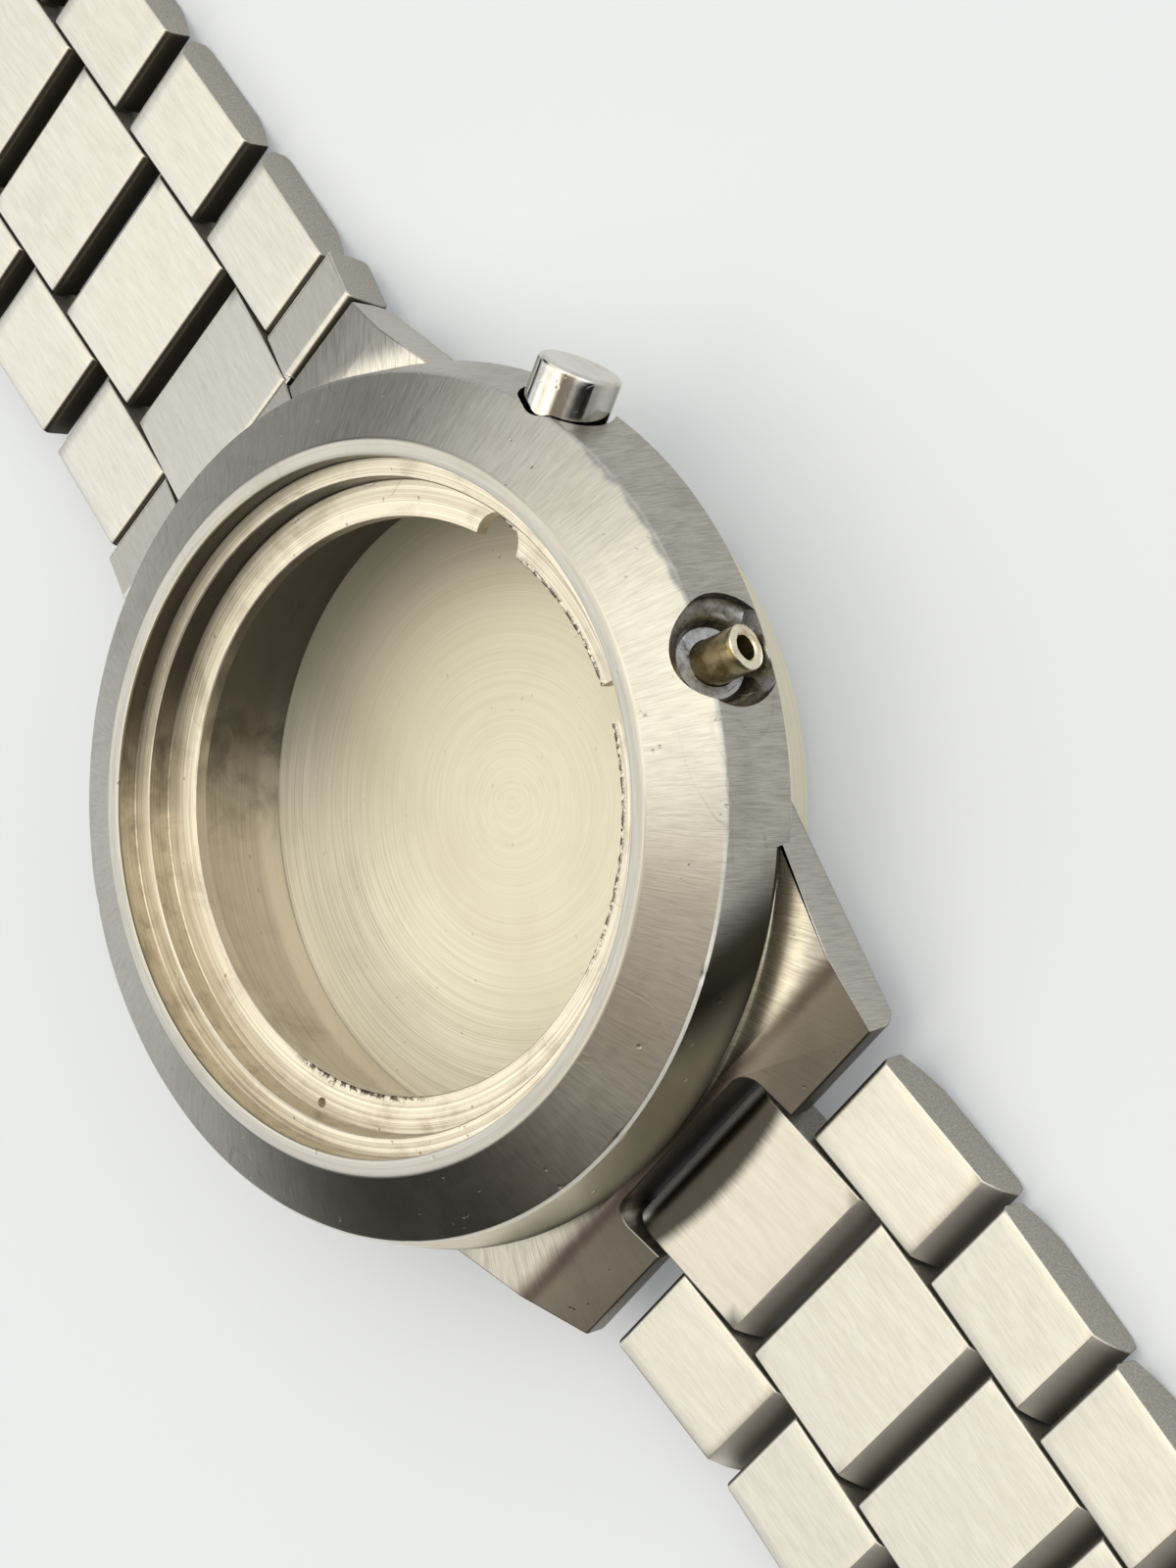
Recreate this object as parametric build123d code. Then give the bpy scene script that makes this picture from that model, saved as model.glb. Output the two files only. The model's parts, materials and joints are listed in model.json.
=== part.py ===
from build123d import *
import math
import os

# Empty steel watch case on its bracelet, in millimetres.
# The origin is on the head's axis in the plane of the case back's flat outer face.
# +Z points out through the dial opening, +X to 3 o'clock and +Y to 12 o'clock.
os.makedirs("parts", exist_ok=True)

# Head: outer shape
edge_radius = 20.50            # edge between the sloping bezel and the case band
edge_height = 10.20
lip_radius = 17.21             # outer edge of the flat lip round the crystal opening
lip_height = 11.94
band_foot_radius = 21.23       # widest place of the case band
band_foot_height = 6.49
band_gap = 0.14                # shadow gap between the band's foot and the lug plate
shoulder_radius = 20.49        # where the head sits on the lug plate
foot_notch_height = 7.25       # over the horns the band ends here
foot_notch_half_width = 14.70
edge_break = 0.10              # small bevel on sharp edges

# Head: inside
crystal_seat_radius = 16.45
crystal_ledge_height = 10.78
dial_wall_radius = 15.50
dial_wall_foot_height = 9.43
flange_radius = 13.70
flange_height = 9.31
flange_thickness = 0.71
movement_radius = 16.00
neck_radius = 16.97            # neck that passes through the lug plate

# Dial flange: notches and a small hole
stem_notch_width = 1.80
stem_notch_reach = 14.60
button_notch_radius = 1.35
button_notch_reach = 15.20
flange_hole_radius = 0.25
flange_hole_reach = 15.10
flange_hole_azimuth = -151.5

# Crown recess and tube
crown_azimuth = -22.1
crown_height = 7.83
recess_radius = 2.70
recess_mouth_inset = 0.23      # from the band's widest place to where the recess axis is placed
recess_mouth_height = 8.80
recess_tilt = 22.0
recess_depth = 1.15
recess_bowl_radius = 1.70
recess_bowl_depth = 1.05
recess_wall_height = 6.62      # the recess leaves the band's foot whole
crown_tube_radius = 1.10
crown_tube_shank_radius = 0.85
crown_tube_bore = 0.60
crown_tube_inset = 0.18        # its mouth stands this far inside the band's widest place
crown_tube_stand = 2.45        # wide part that shows, from its shoulder to its mouth
crown_tube_length = 4.95

# Push button
button_azimuth = 20.6
button_height = 8.05
button_radius = 2.05
button_stand = 1.52            # beyond the band's widest place
button_bottom_gap = 0.10        # left between the skirt and the socket's floor when pressed
button_skirt_wall = 0.45
button_crown_thickness = 0.60
button_socket_radius = 2.30
button_socket_depth = 2.03
button_travel = 0.80
button_tube_radius = 0.90
button_tube_bore = 0.56
button_tube_length = 4.20
button_stem_radius = 0.50
button_stem_tail = 0.50        # past the tube's inner end
button_seal_depth = 0.60       # below the socket's floor
button_seal_length = 0.40
button_seal_squeeze = 0.03
clip_radius = 0.95
clip_thickness = 0.20
clip_gap = 0.03
clip_slot_width = 0.60
spring_wire_radius = 0.12
spring_coil_radius = 1.25
spring_turns = 4

# Lug plate
plate_height = 6.36            # top of the plate's ring, where the head sits
plate_floor_height = 2.20
plate_radius = 20.35
plate_taper_height = 5.40      # below this the ring slopes in to its foot
plate_foot_radius = 17.95
plate_bore_clearance = 0.03
lug_inner_reach = 10.00         # the horns' bodies start inside the ring
lug_root_half_width = 14.20
lug_root_reach = 14.70
lug_flank_foot_height = 4.20   # lower edge of a horn's flank at its root, where its underside slopes up
lug_under_half_width = 12.40   # where that slope starts in the underside
lug_end_facet_length = 3.29    # from the fold to the tip
lug_fold_height = 5.73
lug_tip_half_width = 11.15
lug_tip_margin = 1.28          # from the spring bar's axis to the tip
lug_tip_height = 4.47
lug_tip_face_height = 3.50
lug_tip_face_setback = 0.13
notch_half_width = 5.20
notch_clearance = 0.20         # between the notch's floor and the link in it
notch_corner_radius = 0.90

# Case back
back_radius = 17.90
back_floor_height = 1.13
back_rim_gap = 0.02
back_thread_clearance = 0.05
back_edge_bevel = 0.90
key_slot_count = 6
key_slot_width = 2.20
key_slot_depth = 0.60
key_slot_length = 1.20
gasket_width = 0.70
gasket_depth = 0.40
gasket_stand = 0.05
gasket_side_clearance = 0.05

# Bracelet
link_length = 8.27
link_thickness = 2.60
link_gap = 0.30                # between two links of one row
centre_half_width = 4.88
side_inner = 5.05
side_outer = 10.45
centre_near_pin = 1.65         # from the link's near end to its near pin
side_near_pin = 2.37
nose_face_foot = 0.95
nose_round = 0.38
end_face_setback = 1.22
end_face_foot = 0.90
end_face_bulge = 0.10
toe_length = 0.67
toe_round = 0.20
heel_length = 2.40
heel_bulge = 0.10
link_edge_bevel = 0.10
centre_links_each = 5
link_up_give = 6.0             # degrees that one hinge gives upwards
foot_clearance = 0.12          # height of the flat links above the surface

# Hinge pins
pin_radius = 0.40
pin_press_clearance = 0.01
pin_running_clearance = 0.05
pin_half_length = 9.60
pin_hole_margin = 0.10

# Spring bars
bar_reach = 22.15
bar_height = 3.30
bar_radius = 0.75
bar_bore = 0.50
bar_half_length = 4.80
bar_running_clearance = 0.05
tip_radius = 0.40
tip_shank_radius = 0.46
tip_shank_length = 1.80
tip_half_length = 6.40
horn_hole_clearance = 0.05
horn_hole_margin = 0.15
bar_spring_wire_radius = 0.09
bar_spring_coil_radius = 0.32
bar_spring_turns = 10
first_link_pin = 4.62          # from the spring bar to the first hinge pin at 6 o'clock

# Forked end piece at 12 o'clock
fork_pin = 3.70                # from the spring bar to the fork's hinge pin
fork_near = 1.60
fork_far = 5.32
fork_half_width = 11.00
fork_inner = 5.05
fork_round = 0.50
fork_web_thickness = 0.25
fork_web_half_width = 5.40
fork_web_drop = 0.10
fork_toe_length = 1.15
fork_toe_height = 0.40
fork_pin_half_length = 9.60

cut_overrun = 1.0

# Sizes that follow from the ones above
pin_pitch = (link_length + link_gap) / 2
pin_level = link_thickness / 2
seat_radius = neck_radius + plate_bore_clearance
neck_foot_height = back_floor_height + gasket_stand
flange_floor_height = flange_height - flange_thickness
head_top = lip_height + cut_overrun
recess_mouth_reach = band_foot_radius - recess_mouth_inset
crown_tube_reach = band_foot_radius - crown_tube_inset
crown_tube_shoulder_reach = crown_tube_reach - crown_tube_stand
crown_tube_inner_reach = crown_tube_reach - crown_tube_length
lug_tip_reach = bar_reach + lug_tip_margin
lug_fold_reach = lug_tip_reach - lug_end_facet_length
notch_reach = bar_reach - pin_level - notch_clearance
button_reach = band_foot_radius + button_stand
button_socket_reach = band_foot_radius - button_socket_depth
button_skirt_reach = button_socket_reach + button_travel + button_bottom_gap
button_tube_inner_reach = button_socket_reach - button_tube_length
button_stem_inner_reach = button_tube_inner_reach - button_stem_tail
button_seal_reach = button_socket_reach - button_seal_depth
clip_reach = button_tube_inner_reach - clip_gap


def turned(outline):
    """Solid of revolution about Z from a closed outline of (radius, height) points."""
    points = [(radius, 0, height) for radius, height in outline]
    return revolve(make_face(Polyline(*points, close=True)), axis=Axis.Z)


def rod(radius, start, end):
    """Round rod along +X from start to end."""
    return Pos(start, 0, 0) * extrude(Plane.YZ * Circle(radius), amount=end - start)


def tube(outer, inner, start, end):
    """Round tube along +X from start to end."""
    bore = rod(inner, start - cut_overrun, end + cut_overrun)
    return rod(outer, start, end) - bore


def slab(outline_face, start, end):
    """Prism along +X from start to end, of a face drawn in the YZ plane."""
    return Pos(start, 0, 0) * extrude(outline_face, amount=end - start)


def side_face(edges):
    """Face in the YZ plane from edges drawn with local (outward, height) points."""
    return Plane.YZ * make_face(Curve() + edges)


def at_crown(solid):
    """Place a solid modelled along +X on the crown's axis."""
    return Pos(0, 0, crown_height) * Rot(0, 0, crown_azimuth) * solid


def at_button(solid):
    """Place a solid modelled along +X on the button's axis."""
    return Pos(0, 0, button_height) * Rot(0, 0, button_azimuth) * solid


def head_blank():
    """Head as it leaves the lathe."""
    slope = math.hypot(edge_radius - lip_radius, lip_height - edge_height)
    break_in = (edge_radius - lip_radius) / slope * edge_break
    break_up = (lip_height - edge_height) / slope * edge_break
    return turned([
        (neck_radius, neck_foot_height),
        (neck_radius, plate_height),
        (shoulder_radius, plate_height),
        (shoulder_radius, plate_height + band_gap),
        (band_foot_radius - edge_break, band_foot_height),
        (band_foot_radius, band_foot_height + edge_break),
        (edge_radius, edge_height - edge_break),
        (edge_radius - break_in, edge_height + break_up),
        (lip_radius + break_in, lip_height - break_up),
        (lip_radius, lip_height),
        (crystal_seat_radius + edge_break, lip_height),
        (crystal_seat_radius, lip_height - edge_break),
        (crystal_seat_radius, crystal_ledge_height),
        (dial_wall_radius, crystal_ledge_height),
        (dial_wall_radius, dial_wall_foot_height),
        (flange_radius, flange_height),
        (flange_radius, flange_floor_height),
        (movement_radius, flange_floor_height),
        (movement_radius, neck_foot_height),
    ])


def recess_cutter():
    """Bowl-ended cutter of the crown recess, along its own tipped axis."""
    floor = -recess_depth
    outline = [
        (0, cut_overrun + recess_radius),
        (recess_radius, cut_overrun + recess_radius),
        (recess_radius, floor),
        (recess_bowl_radius, floor - recess_bowl_depth),
        (0, floor - recess_bowl_depth),
    ]
    cutter = Rot(0, 90, 0) * turned(outline)
    mouth = Pos(recess_mouth_reach, 0, recess_mouth_height) * Rot(0, -recess_tilt, 0)
    placed = Rot(0, 0, crown_azimuth) * mouth * cutter
    keep = Pos(0, 0, recess_wall_height) * extrude(Circle(2 * band_foot_radius), amount=2 * lip_height)
    return placed & keep


def flange_notches():
    """Cutters for the stem notch, the button notch and the small hole of the dial flange."""
    height = dial_wall_foot_height - flange_floor_height + 2 * cut_overrun
    low = flange_floor_height - cut_overrun
    inner = flange_radius - cut_overrun
    stem = Pos(inner, 0, low) * extrude(
        Rectangle(stem_notch_reach - inner, stem_notch_width, align=(Align.MIN, Align.CENTER)), amount=height)
    button = Pos(button_notch_reach - button_notch_radius, 0, low) * extrude(
        Circle(button_notch_radius), amount=height)
    hole = Pos(flange_hole_reach, 0, low) * extrude(Circle(flange_hole_radius), amount=height)
    placed = ((crown_azimuth, stem), (button_azimuth, button), (flange_hole_azimuth, hole))
    return [Rot(0, 0, azimuth) * cutter for azimuth, cutter in placed]


def foot_notches():
    """Cutters that shorten the band over both pairs of horns, in as far as the shoulder."""
    reach = band_foot_radius + cut_overrun
    ring = extrude(Circle(reach) - Circle(shoulder_radius), amount=foot_notch_height - plate_height)
    return Pos(0, 0, plate_height) * ring & Box(2 * foot_notch_half_width, 2 * reach, 2 * lip_height)


def case_middle():
    """Head with its recess, bores and notches."""
    body = head_blank() - recess_cutter() - foot_notches()
    crown_hole = crown_tube_shank_radius + pin_press_clearance
    body -= at_crown(rod(crown_hole, crown_tube_inner_reach - crown_tube_bore, crown_tube_shoulder_reach + edge_break))
    crown_room = crown_tube_radius + pin_running_clearance
    body -= at_crown(rod(crown_room, crown_tube_shoulder_reach, crown_tube_reach + cut_overrun))
    socket_end = button_reach + cut_overrun
    body -= at_button(rod(button_socket_radius, button_socket_reach, socket_end))
    tube_hole = button_tube_radius + pin_press_clearance
    body -= at_button(rod(tube_hole, button_tube_inner_reach - cut_overrun, socket_end))
    for cutter in flange_notches():
        body -= cutter
    return body


def crown_tube():
    """Stepped tube pressed into the case wall for the crown's stem."""
    shank = rod(crown_tube_shank_radius, crown_tube_inner_reach, crown_tube_shoulder_reach + edge_break)
    body = rod(crown_tube_radius, crown_tube_shoulder_reach, crown_tube_reach)
    body = chamfer(body.faces().sort_by(Axis.X)[-1].edges(), edge_break)
    bore = rod(crown_tube_bore, crown_tube_inner_reach - cut_overrun, crown_tube_reach + cut_overrun)
    return at_crown(shank + body - bore)


def button_tube():
    """Tube pressed into the case wall that guides the button's stem."""
    body = tube(button_tube_radius, button_tube_bore, button_tube_inner_reach, button_socket_reach)
    seal_end = button_seal_reach + button_seal_length
    groove = rod(button_tube_radius - 2 * button_seal_squeeze - edge_break, button_seal_reach, seal_end)
    return at_button(body - groove)


def button_seal():
    """Sealing ring in the tube's groove."""
    outer = button_tube_radius - 2 * button_seal_squeeze - edge_break
    end = button_seal_reach + button_seal_length
    return at_button(tube(outer, button_stem_radius + pin_press_clearance, button_seal_reach, end))


def button_cap():
    """Cup-shaped button with a threaded boss for the stem."""
    body = rod(button_radius, button_skirt_reach, button_reach)
    body = fillet(body.faces().sort_by(Axis.X)[-1].edges(), 2 * edge_break)
    crown = button_reach - button_crown_thickness
    body -= rod(button_radius - button_skirt_wall, button_skirt_reach - cut_overrun, crown)
    body -= rod(button_stem_radius, crown - cut_overrun, button_reach - button_crown_thickness / 2)
    return at_button(body)


def button_stem():
    """Stem of the button with the slot for its clip."""
    body = rod(button_stem_radius, button_stem_inner_reach, button_reach - button_crown_thickness / 2)
    slot = rod(button_radius, clip_reach - clip_thickness, clip_reach)
    slot -= rod(clip_slot_width / 2, clip_reach - clip_thickness, clip_reach)
    return at_button(body - slot)


def button_clip():
    """Open retaining clip that stops the button's stem against the tube's inner end."""
    body = tube(clip_radius, clip_slot_width / 2, clip_reach - clip_thickness, clip_reach)
    mouth = Pos(clip_reach - clip_thickness / 2, 0, -clip_radius) * Box(
        2 * clip_thickness, clip_slot_width, 2 * clip_radius)
    return at_button(body - mouth)


def coil(wire_radius, coil_radius, turns, start, end):
    """Coil spring along +X whose wire touches start and end, and the least gap between its turns."""
    length = end - start - 2 * wire_radius
    pitch = length / turns
    path = Helix(pitch=pitch, height=length, radius=coil_radius)
    section = Plane(origin=path @ 0, z_dir=path % 0) * Circle(wire_radius)
    wire = sweep(section, path=path, is_frenet=True)
    return Pos(start + wire_radius, 0, 0) * Rot(0, 90, 0) * wire, pitch - 2 * wire_radius


def button_spring():
    """Return spring between the socket's floor and the underside of the cap."""
    crown = button_reach - button_crown_thickness
    spring, gap = coil(spring_wire_radius, spring_coil_radius, spring_turns, button_socket_reach, crown)
    print(f"button spring: least gap between turns {gap:.2f} mm")
    return at_button(spring)


def lug_side_edges():
    """Side outline of the two lugs' bodies on the +Y side, drawn with (outward, height) points."""
    foot = (lug_inner_reach, plate_floor_height)
    inner = (lug_inner_reach, plate_height)
    root = (lug_root_reach, plate_height)
    fold = (lug_fold_reach, lug_fold_height)
    tip = (lug_tip_reach, lug_tip_height)
    face = (lug_tip_reach - lug_tip_face_setback, lug_tip_face_height)
    tip_round = lug_tip_face_height - plate_floor_height
    heel = (face[0] - tip_round, plate_floor_height)
    round_mid = (heel[0] + tip_round * math.sin(math.pi / 4), face[1] - tip_round * math.sin(math.pi / 4))
    return [Line(foot, inner), Line(inner, root), Line(root, fold), Line(fold, tip), Line(tip, face),
            ThreePointArc(face, round_mid, heel), Line(heel, foot)]


def sloped_under(block):
    """Horns' block whose lower outer edges slope up, most at the root and not at the tip."""
    for side in (-1, 1):
        root = Vector(side * lug_root_half_width, lug_root_reach, lug_flank_foot_height)
        under = Vector(side * lug_under_half_width, lug_root_reach, plate_floor_height)
        tip = Vector(side * lug_tip_half_width, lug_tip_reach, plate_floor_height)
        outward = (under - root).cross(tip - root) * side
        block = split(block, bisect_by=Plane(origin=root, z_dir=outward), keep=Keep.BOTTOM)
    return block


def lug_pair():
    """Both horns of the +Y side, with their notch and spring-bar holes."""
    taper = (lug_root_half_width - lug_tip_half_width) / (lug_tip_reach - lug_root_reach)
    inner_half_width = lug_root_half_width + taper * (lug_root_reach - lug_inner_reach)
    outer_half_width = lug_tip_half_width - taper * cut_overrun
    block = slab(side_face(lug_side_edges()), -inner_half_width, inner_half_width)
    plan = make_face(Polyline(
        (-inner_half_width, lug_inner_reach), (inner_half_width, lug_inner_reach),
        (outer_half_width, lug_tip_reach + cut_overrun), (-outer_half_width, lug_tip_reach + cut_overrun),
        close=True))
    block &= extrude(plan, amount=head_top)
    block = sloped_under(block)
    notch_depth = lug_tip_reach - notch_reach + cut_overrun
    notch = Pos(0, notch_reach + notch_depth / 2, 0) * extrude(
        Rectangle(2 * notch_half_width, notch_depth), amount=head_top)
    inner_corners = notch.edges().filter_by(Axis.Z).sort_by(Axis.Y)[:2]
    block -= fillet(inner_corners, notch_corner_radius)
    hole = rod(tip_radius + horn_hole_clearance, -tip_half_length - horn_hole_margin,
               tip_half_length + horn_hole_margin)
    return block - Pos(0, bar_reach, bar_height) * hole


def lug_plate():
    """Lower case body: a ring under the head with two horns at each end."""
    body = turned([
        (0, plate_floor_height), (plate_foot_radius, plate_floor_height), (plate_radius, plate_taper_height),
        (plate_radius, plate_height), (0, plate_height),
    ])
    horns = lug_pair()
    body = body + horns + Rot(0, 0, 180) * horns
    bore = extrude(Circle(seat_radius), amount=head_top)
    body -= bore
    socket = rod(button_socket_radius, button_socket_reach, button_reach)
    return body - at_button(socket)


def case_back():
    """Case back with its threaded rim, sealing groove and key slots."""
    rim_top = plate_floor_height - back_rim_gap
    rim_inner = neck_radius + back_thread_clearance
    groove_outer = movement_radius + gasket_side_clearance + gasket_width + 2 * gasket_side_clearance
    groove_inner = movement_radius + gasket_side_clearance
    groove_floor = back_floor_height - gasket_depth
    body = turned([
        (0, 0), (back_radius - back_edge_bevel, 0), (back_radius, back_edge_bevel), (back_radius, rim_top),
        (rim_inner, rim_top), (rim_inner, back_floor_height), (groove_outer, back_floor_height),
        (groove_outer, groove_floor), (groove_inner, groove_floor), (groove_inner, back_floor_height),
        (0, back_floor_height),
    ])
    slot = Pos(back_radius - key_slot_length, 0, -cut_overrun) * Box(
        key_slot_length + cut_overrun, key_slot_width, cut_overrun + key_slot_depth,
        align=(Align.MIN, Align.CENTER, Align.MIN))
    for number in range(key_slot_count):
        body -= Rot(0, 0, number * 360 / key_slot_count) * slot
    return body


def case_back_gasket():
    """Sealing ring in the case back's groove, pressed by the neck's foot."""
    inner = movement_radius + 2 * gasket_side_clearance
    outer = inner + gasket_width
    floor = back_floor_height - gasket_depth
    return turned([(inner, floor), (outer, floor), (outer, neck_foot_height), (inner, neck_foot_height)])


def end_face_edges(origin, near_point):
    """Edges from a link's top far edge round its end face and along its flat underside."""
    def local(along, up):
        return (along - origin[0], up - origin[1])

    edge = (link_length - end_face_setback, link_thickness)
    low = (link_length, end_face_foot)
    run = math.hypot(end_face_setback, edge[1] - low[1])
    mid = ((edge[0] + low[0]) / 2 + end_face_bulge * (edge[1] - low[1]) / run,
           (edge[1] + low[1]) / 2 + end_face_bulge * end_face_setback / run)
    toe = (link_length - toe_length, 0)
    toe_mid = (link_length - toe_round, toe_round)
    return [ThreePointArc(local(*edge), local(*mid), local(*low)),
            Line(local(*low), local(*toe_mid)), Line(local(*toe_mid), local(*toe)),
            Line(local(*toe), near_point)]


def link_edges(near_pin):
    """Side outline of a link, drawn about its near pin."""
    origin = (near_pin, pin_level)

    def local(along, up):
        return (along - origin[0], up - origin[1])

    corner = nose_round * (1 - math.sin(math.pi / 4))
    heel_mid = (heel_length / 2 - heel_bulge / 2, nose_face_foot / 2 - heel_bulge)
    heel = local(heel_length, 0)
    return [Line(local(0, nose_face_foot), local(0, link_thickness - nose_round)),
            ThreePointArc(local(0, link_thickness - nose_round), local(corner, link_thickness - corner),
                          local(nose_round, link_thickness)),
            Line(local(nose_round, link_thickness), local(link_length - end_face_setback, link_thickness)),
            *end_face_edges(origin, heel),
            ThreePointArc(heel, local(*heel_mid), local(0, nose_face_foot))]


def nose_link_edges():
    """Side outline of the centre link that hangs on the spring bar, drawn about that bar."""
    near_pin = centre_near_pin + pin_pitch - first_link_pin
    origin = (near_pin, pin_level)
    top = (0, pin_level)
    bottom = (0, -pin_level)
    far_edge = (link_length - end_face_setback - near_pin, pin_level)
    return [ThreePointArc(bottom, (-pin_level, 0), top), Line(top, far_edge),
            *end_face_edges(origin, bottom)]


def bevelled_slab(edges, start, end):
    """Link body along X with a small bevel along the upper rims of both side faces."""
    body = slab(side_face(edges), start, end)
    sides = body.faces().sort_by(Axis.X)
    rims = [edge for face in (sides[0], sides[-1]) for edge in face.edges() if edge.bounding_box().max.Z > 0]
    return chamfer(rims, link_edge_bevel)


def cross_bore(radius, half_length, along):
    """Cutter across the bracelet at a distance along a link from its near hinge."""
    return Pos(0, along, 0) * rod(radius, -half_length, half_length)


def centre_link():
    """Centre link with bores for its two hinge pins."""
    body = bevelled_slab(link_edges(centre_near_pin), -centre_half_width, centre_half_width)
    for along in (0, pin_pitch):
        body -= cross_bore(pin_radius + pin_running_clearance, side_inner, along)
    return body


def nose_link():
    """Centre link that hangs on the spring bar at 6 o'clock."""
    body = bevelled_slab(nose_link_edges(), -centre_half_width, centre_half_width)
    body -= cross_bore(bar_radius + bar_running_clearance, side_inner, 0)
    body -= cross_bore(pin_radius + pin_running_clearance, side_inner, first_link_pin)
    return body


def side_links():
    """Pair of outer links with blind holes for their pins."""
    pair = []
    for start, end in ((side_inner, side_outer), (-side_outer, -side_inner)):
        body = bevelled_slab(link_edges(side_near_pin), start, end)
        for along in (0, pin_pitch):
            body -= cross_bore(pin_radius + pin_press_clearance, pin_half_length + pin_hole_margin, along)
        pair.append(body)
    return Compound(pair)


def pins(distances, half_length):
    """Hinge pins across the bracelet at the given distances from the near hinge."""
    rods = [cross_bore(pin_radius, half_length, along) for along in distances]
    return Compound(rods) if len(rods) > 1 else rods[0]


def fork():
    """Forked end piece: a tongue in the upper notch and two arms that hold the first pin."""
    web_far = fork_near + fork_web_thickness
    web_top = pin_level - fork_web_drop
    tongue = side_face([
        ThreePointArc((0, -pin_level), (-pin_level, 0), (0, pin_level)),
        Line((0, pin_level), (web_far, web_top)), Line((web_far, web_top), (web_far, -pin_level)),
        Line((web_far, -pin_level), (0, -pin_level))])
    body = slab(tongue, -centre_half_width, centre_half_width)
    web_height = web_top + pin_level
    web = Pos(0, fork_near, -pin_level) * Box(
        2 * fork_web_half_width, fork_web_thickness, web_height, align=(Align.CENTER, Align.MIN, Align.MIN))
    toe = Pos(0, fork_near, -pin_level) * Box(
        2 * fork_web_half_width, fork_toe_length, fork_toe_height, align=(Align.CENTER, Align.MIN, Align.MIN))
    body = body + web + toe
    for side in (-1, 1):
        centre_x = side * (fork_inner + fork_half_width) / 2
        arm = Pos(centre_x, (fork_near + fork_far) / 2, 0) * Box(
            fork_half_width - fork_inner, fork_far - fork_near, link_thickness)
        arm = fillet(arm.edges().filter_by(Axis.X), fork_round)
        arm = chamfer(arm.faces().sort_by(Axis.X)[0 if side < 0 else -1].edges(), link_edge_bevel)
        body += arm
    body -= cross_bore(bar_radius + bar_running_clearance, fork_inner, 0)
    return body - cross_bore(pin_radius + pin_press_clearance, fork_pin_half_length + pin_hole_margin, fork_pin)


def spring_bar_parts():
    """Tube, tips and inner spring of one spring bar, along X about its own centre."""
    sleeve = tube(bar_radius, bar_bore, -bar_half_length, bar_half_length)
    tips = []
    for turn in (0, 180):
        shank = rod(tip_shank_radius, bar_half_length - tip_shank_length, bar_half_length)
        point = rod(tip_radius, bar_half_length - edge_break, tip_half_length)
        point = chamfer(point.faces().sort_by(Axis.X)[-1].edges(), edge_break)
        tips.append(Rot(0, 0, turn) * (shank + point))
    inner = bar_half_length - tip_shank_length
    spring, gap = coil(bar_spring_wire_radius, bar_spring_coil_radius, bar_spring_turns, -inner, inner)
    print(f"spring bar spring: least gap between turns {gap:.2f} mm")
    return {"tube": sleeve, "tips": Compound(tips), "spring": spring}


def resting_angles(lengths):
    """Angles below level of each link, so that a chain from the spring bar lies down on the surface."""
    drop = bar_height - pin_level - foot_clearance

    def reached(first):
        angles = [max(first - number * link_up_give, 0.0) for number in range(len(lengths))]
        fall = sum(length * math.sin(math.radians(angle)) for length, angle in zip(lengths, angles))
        return fall, angles

    low, high = 0.0, 90.0
    while high - low > 1e-9:
        first = (low + high) / 2
        fall, angles = reached(first)
        if fall < drop:
            low = first
        else:
            high = first
    return angles


def chain_places(lengths):
    """Pivot (outward, height) and angle of each body of a chain that hangs on a spring bar."""
    outward, height = bar_reach, bar_height
    places = []
    for length, angle in zip(lengths, resting_angles(lengths)):
        places.append((outward, height, angle))
        outward += length * math.cos(math.radians(angle))
        height -= length * math.sin(math.radians(angle))
    return places


def place(solid, pivot, end):
    """Hang a solid modelled about its near hinge at a pivot, on the +Y or the -Y side."""
    outward, height, angle = pivot
    side = 0 if end == "12" else 180
    return Rot(0, 0, side) * Pos(0, outward, height) * Rot(-angle, 0, 0) * solid


def chain(end, lengths, first_nodes):
    """Nodes of one half of the bracelet, printed with their pivots for the joints."""
    nodes = {}
    places = chain_places(lengths)
    head_count = len(lengths) - (2 * centre_links_each - 1)
    for number, pivot in enumerate(places):
        step = number - head_count
        if number == 0:
            name, items = first_nodes
        elif step % 2 == 0:
            name = f"centre_link_{end}_{step // 2 + 1}"
            items = {name: centre_link()}
        else:
            row = step // 2 + 1
            name = f"side_links_{end}_{row}"
            items = {name: side_links(), f"link_pins_{end}_{row}": pins((0, pin_pitch), pin_half_length)}
        for node, solid in items.items():
            nodes[node] = place(solid, pivot, end)
        print(f"pivot {name}: out {pivot[0]:.4f} up {pivot[1]:.4f} angle {pivot[2]:.4f}")
    return nodes


def bracelet():
    """Both halves of the bracelet and their spring bars."""
    rest_of_chain = [pin_pitch] * (2 * centre_links_each - 2)
    nodes = chain("6", [first_link_pin, *rest_of_chain], ("centre_link_6_1", {"centre_link_6_1": nose_link()}))
    fork_nodes = {"end_link_12": fork(), "end_link_pin_12": pins((fork_pin,), fork_pin_half_length)}
    nodes.update(chain("12", [fork_pin, pin_pitch, *rest_of_chain], ("end_link_12", fork_nodes)))
    for name, solid in spring_bar_parts().items():
        for end, side in (("6", 180), ("12", 0)):
            nodes[f"spring_bar_{name}_{end}"] = Rot(0, 0, side) * Pos(0, bar_reach, bar_height) * solid
    return nodes


def head():
    """Case parts and the push button."""
    return {
        "case_middle": case_middle(),
        "lug_plate": lug_plate(),
        "case_back": case_back(),
        "case_back_gasket": case_back_gasket(),
        "crown_tube": crown_tube(),
        "pusher_tube": button_tube(),
        "pusher_gasket": button_seal(),
        "pusher_cap": button_cap(),
        "pusher_stem": button_stem(),
        "pusher_clip": button_clip(),
        "pusher_spring": button_spring(),
    }


for node_name, node_solid in {**head(), **bracelet()}.items():
    export_step(node_solid, f"parts/{node_name}.step")
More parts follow.
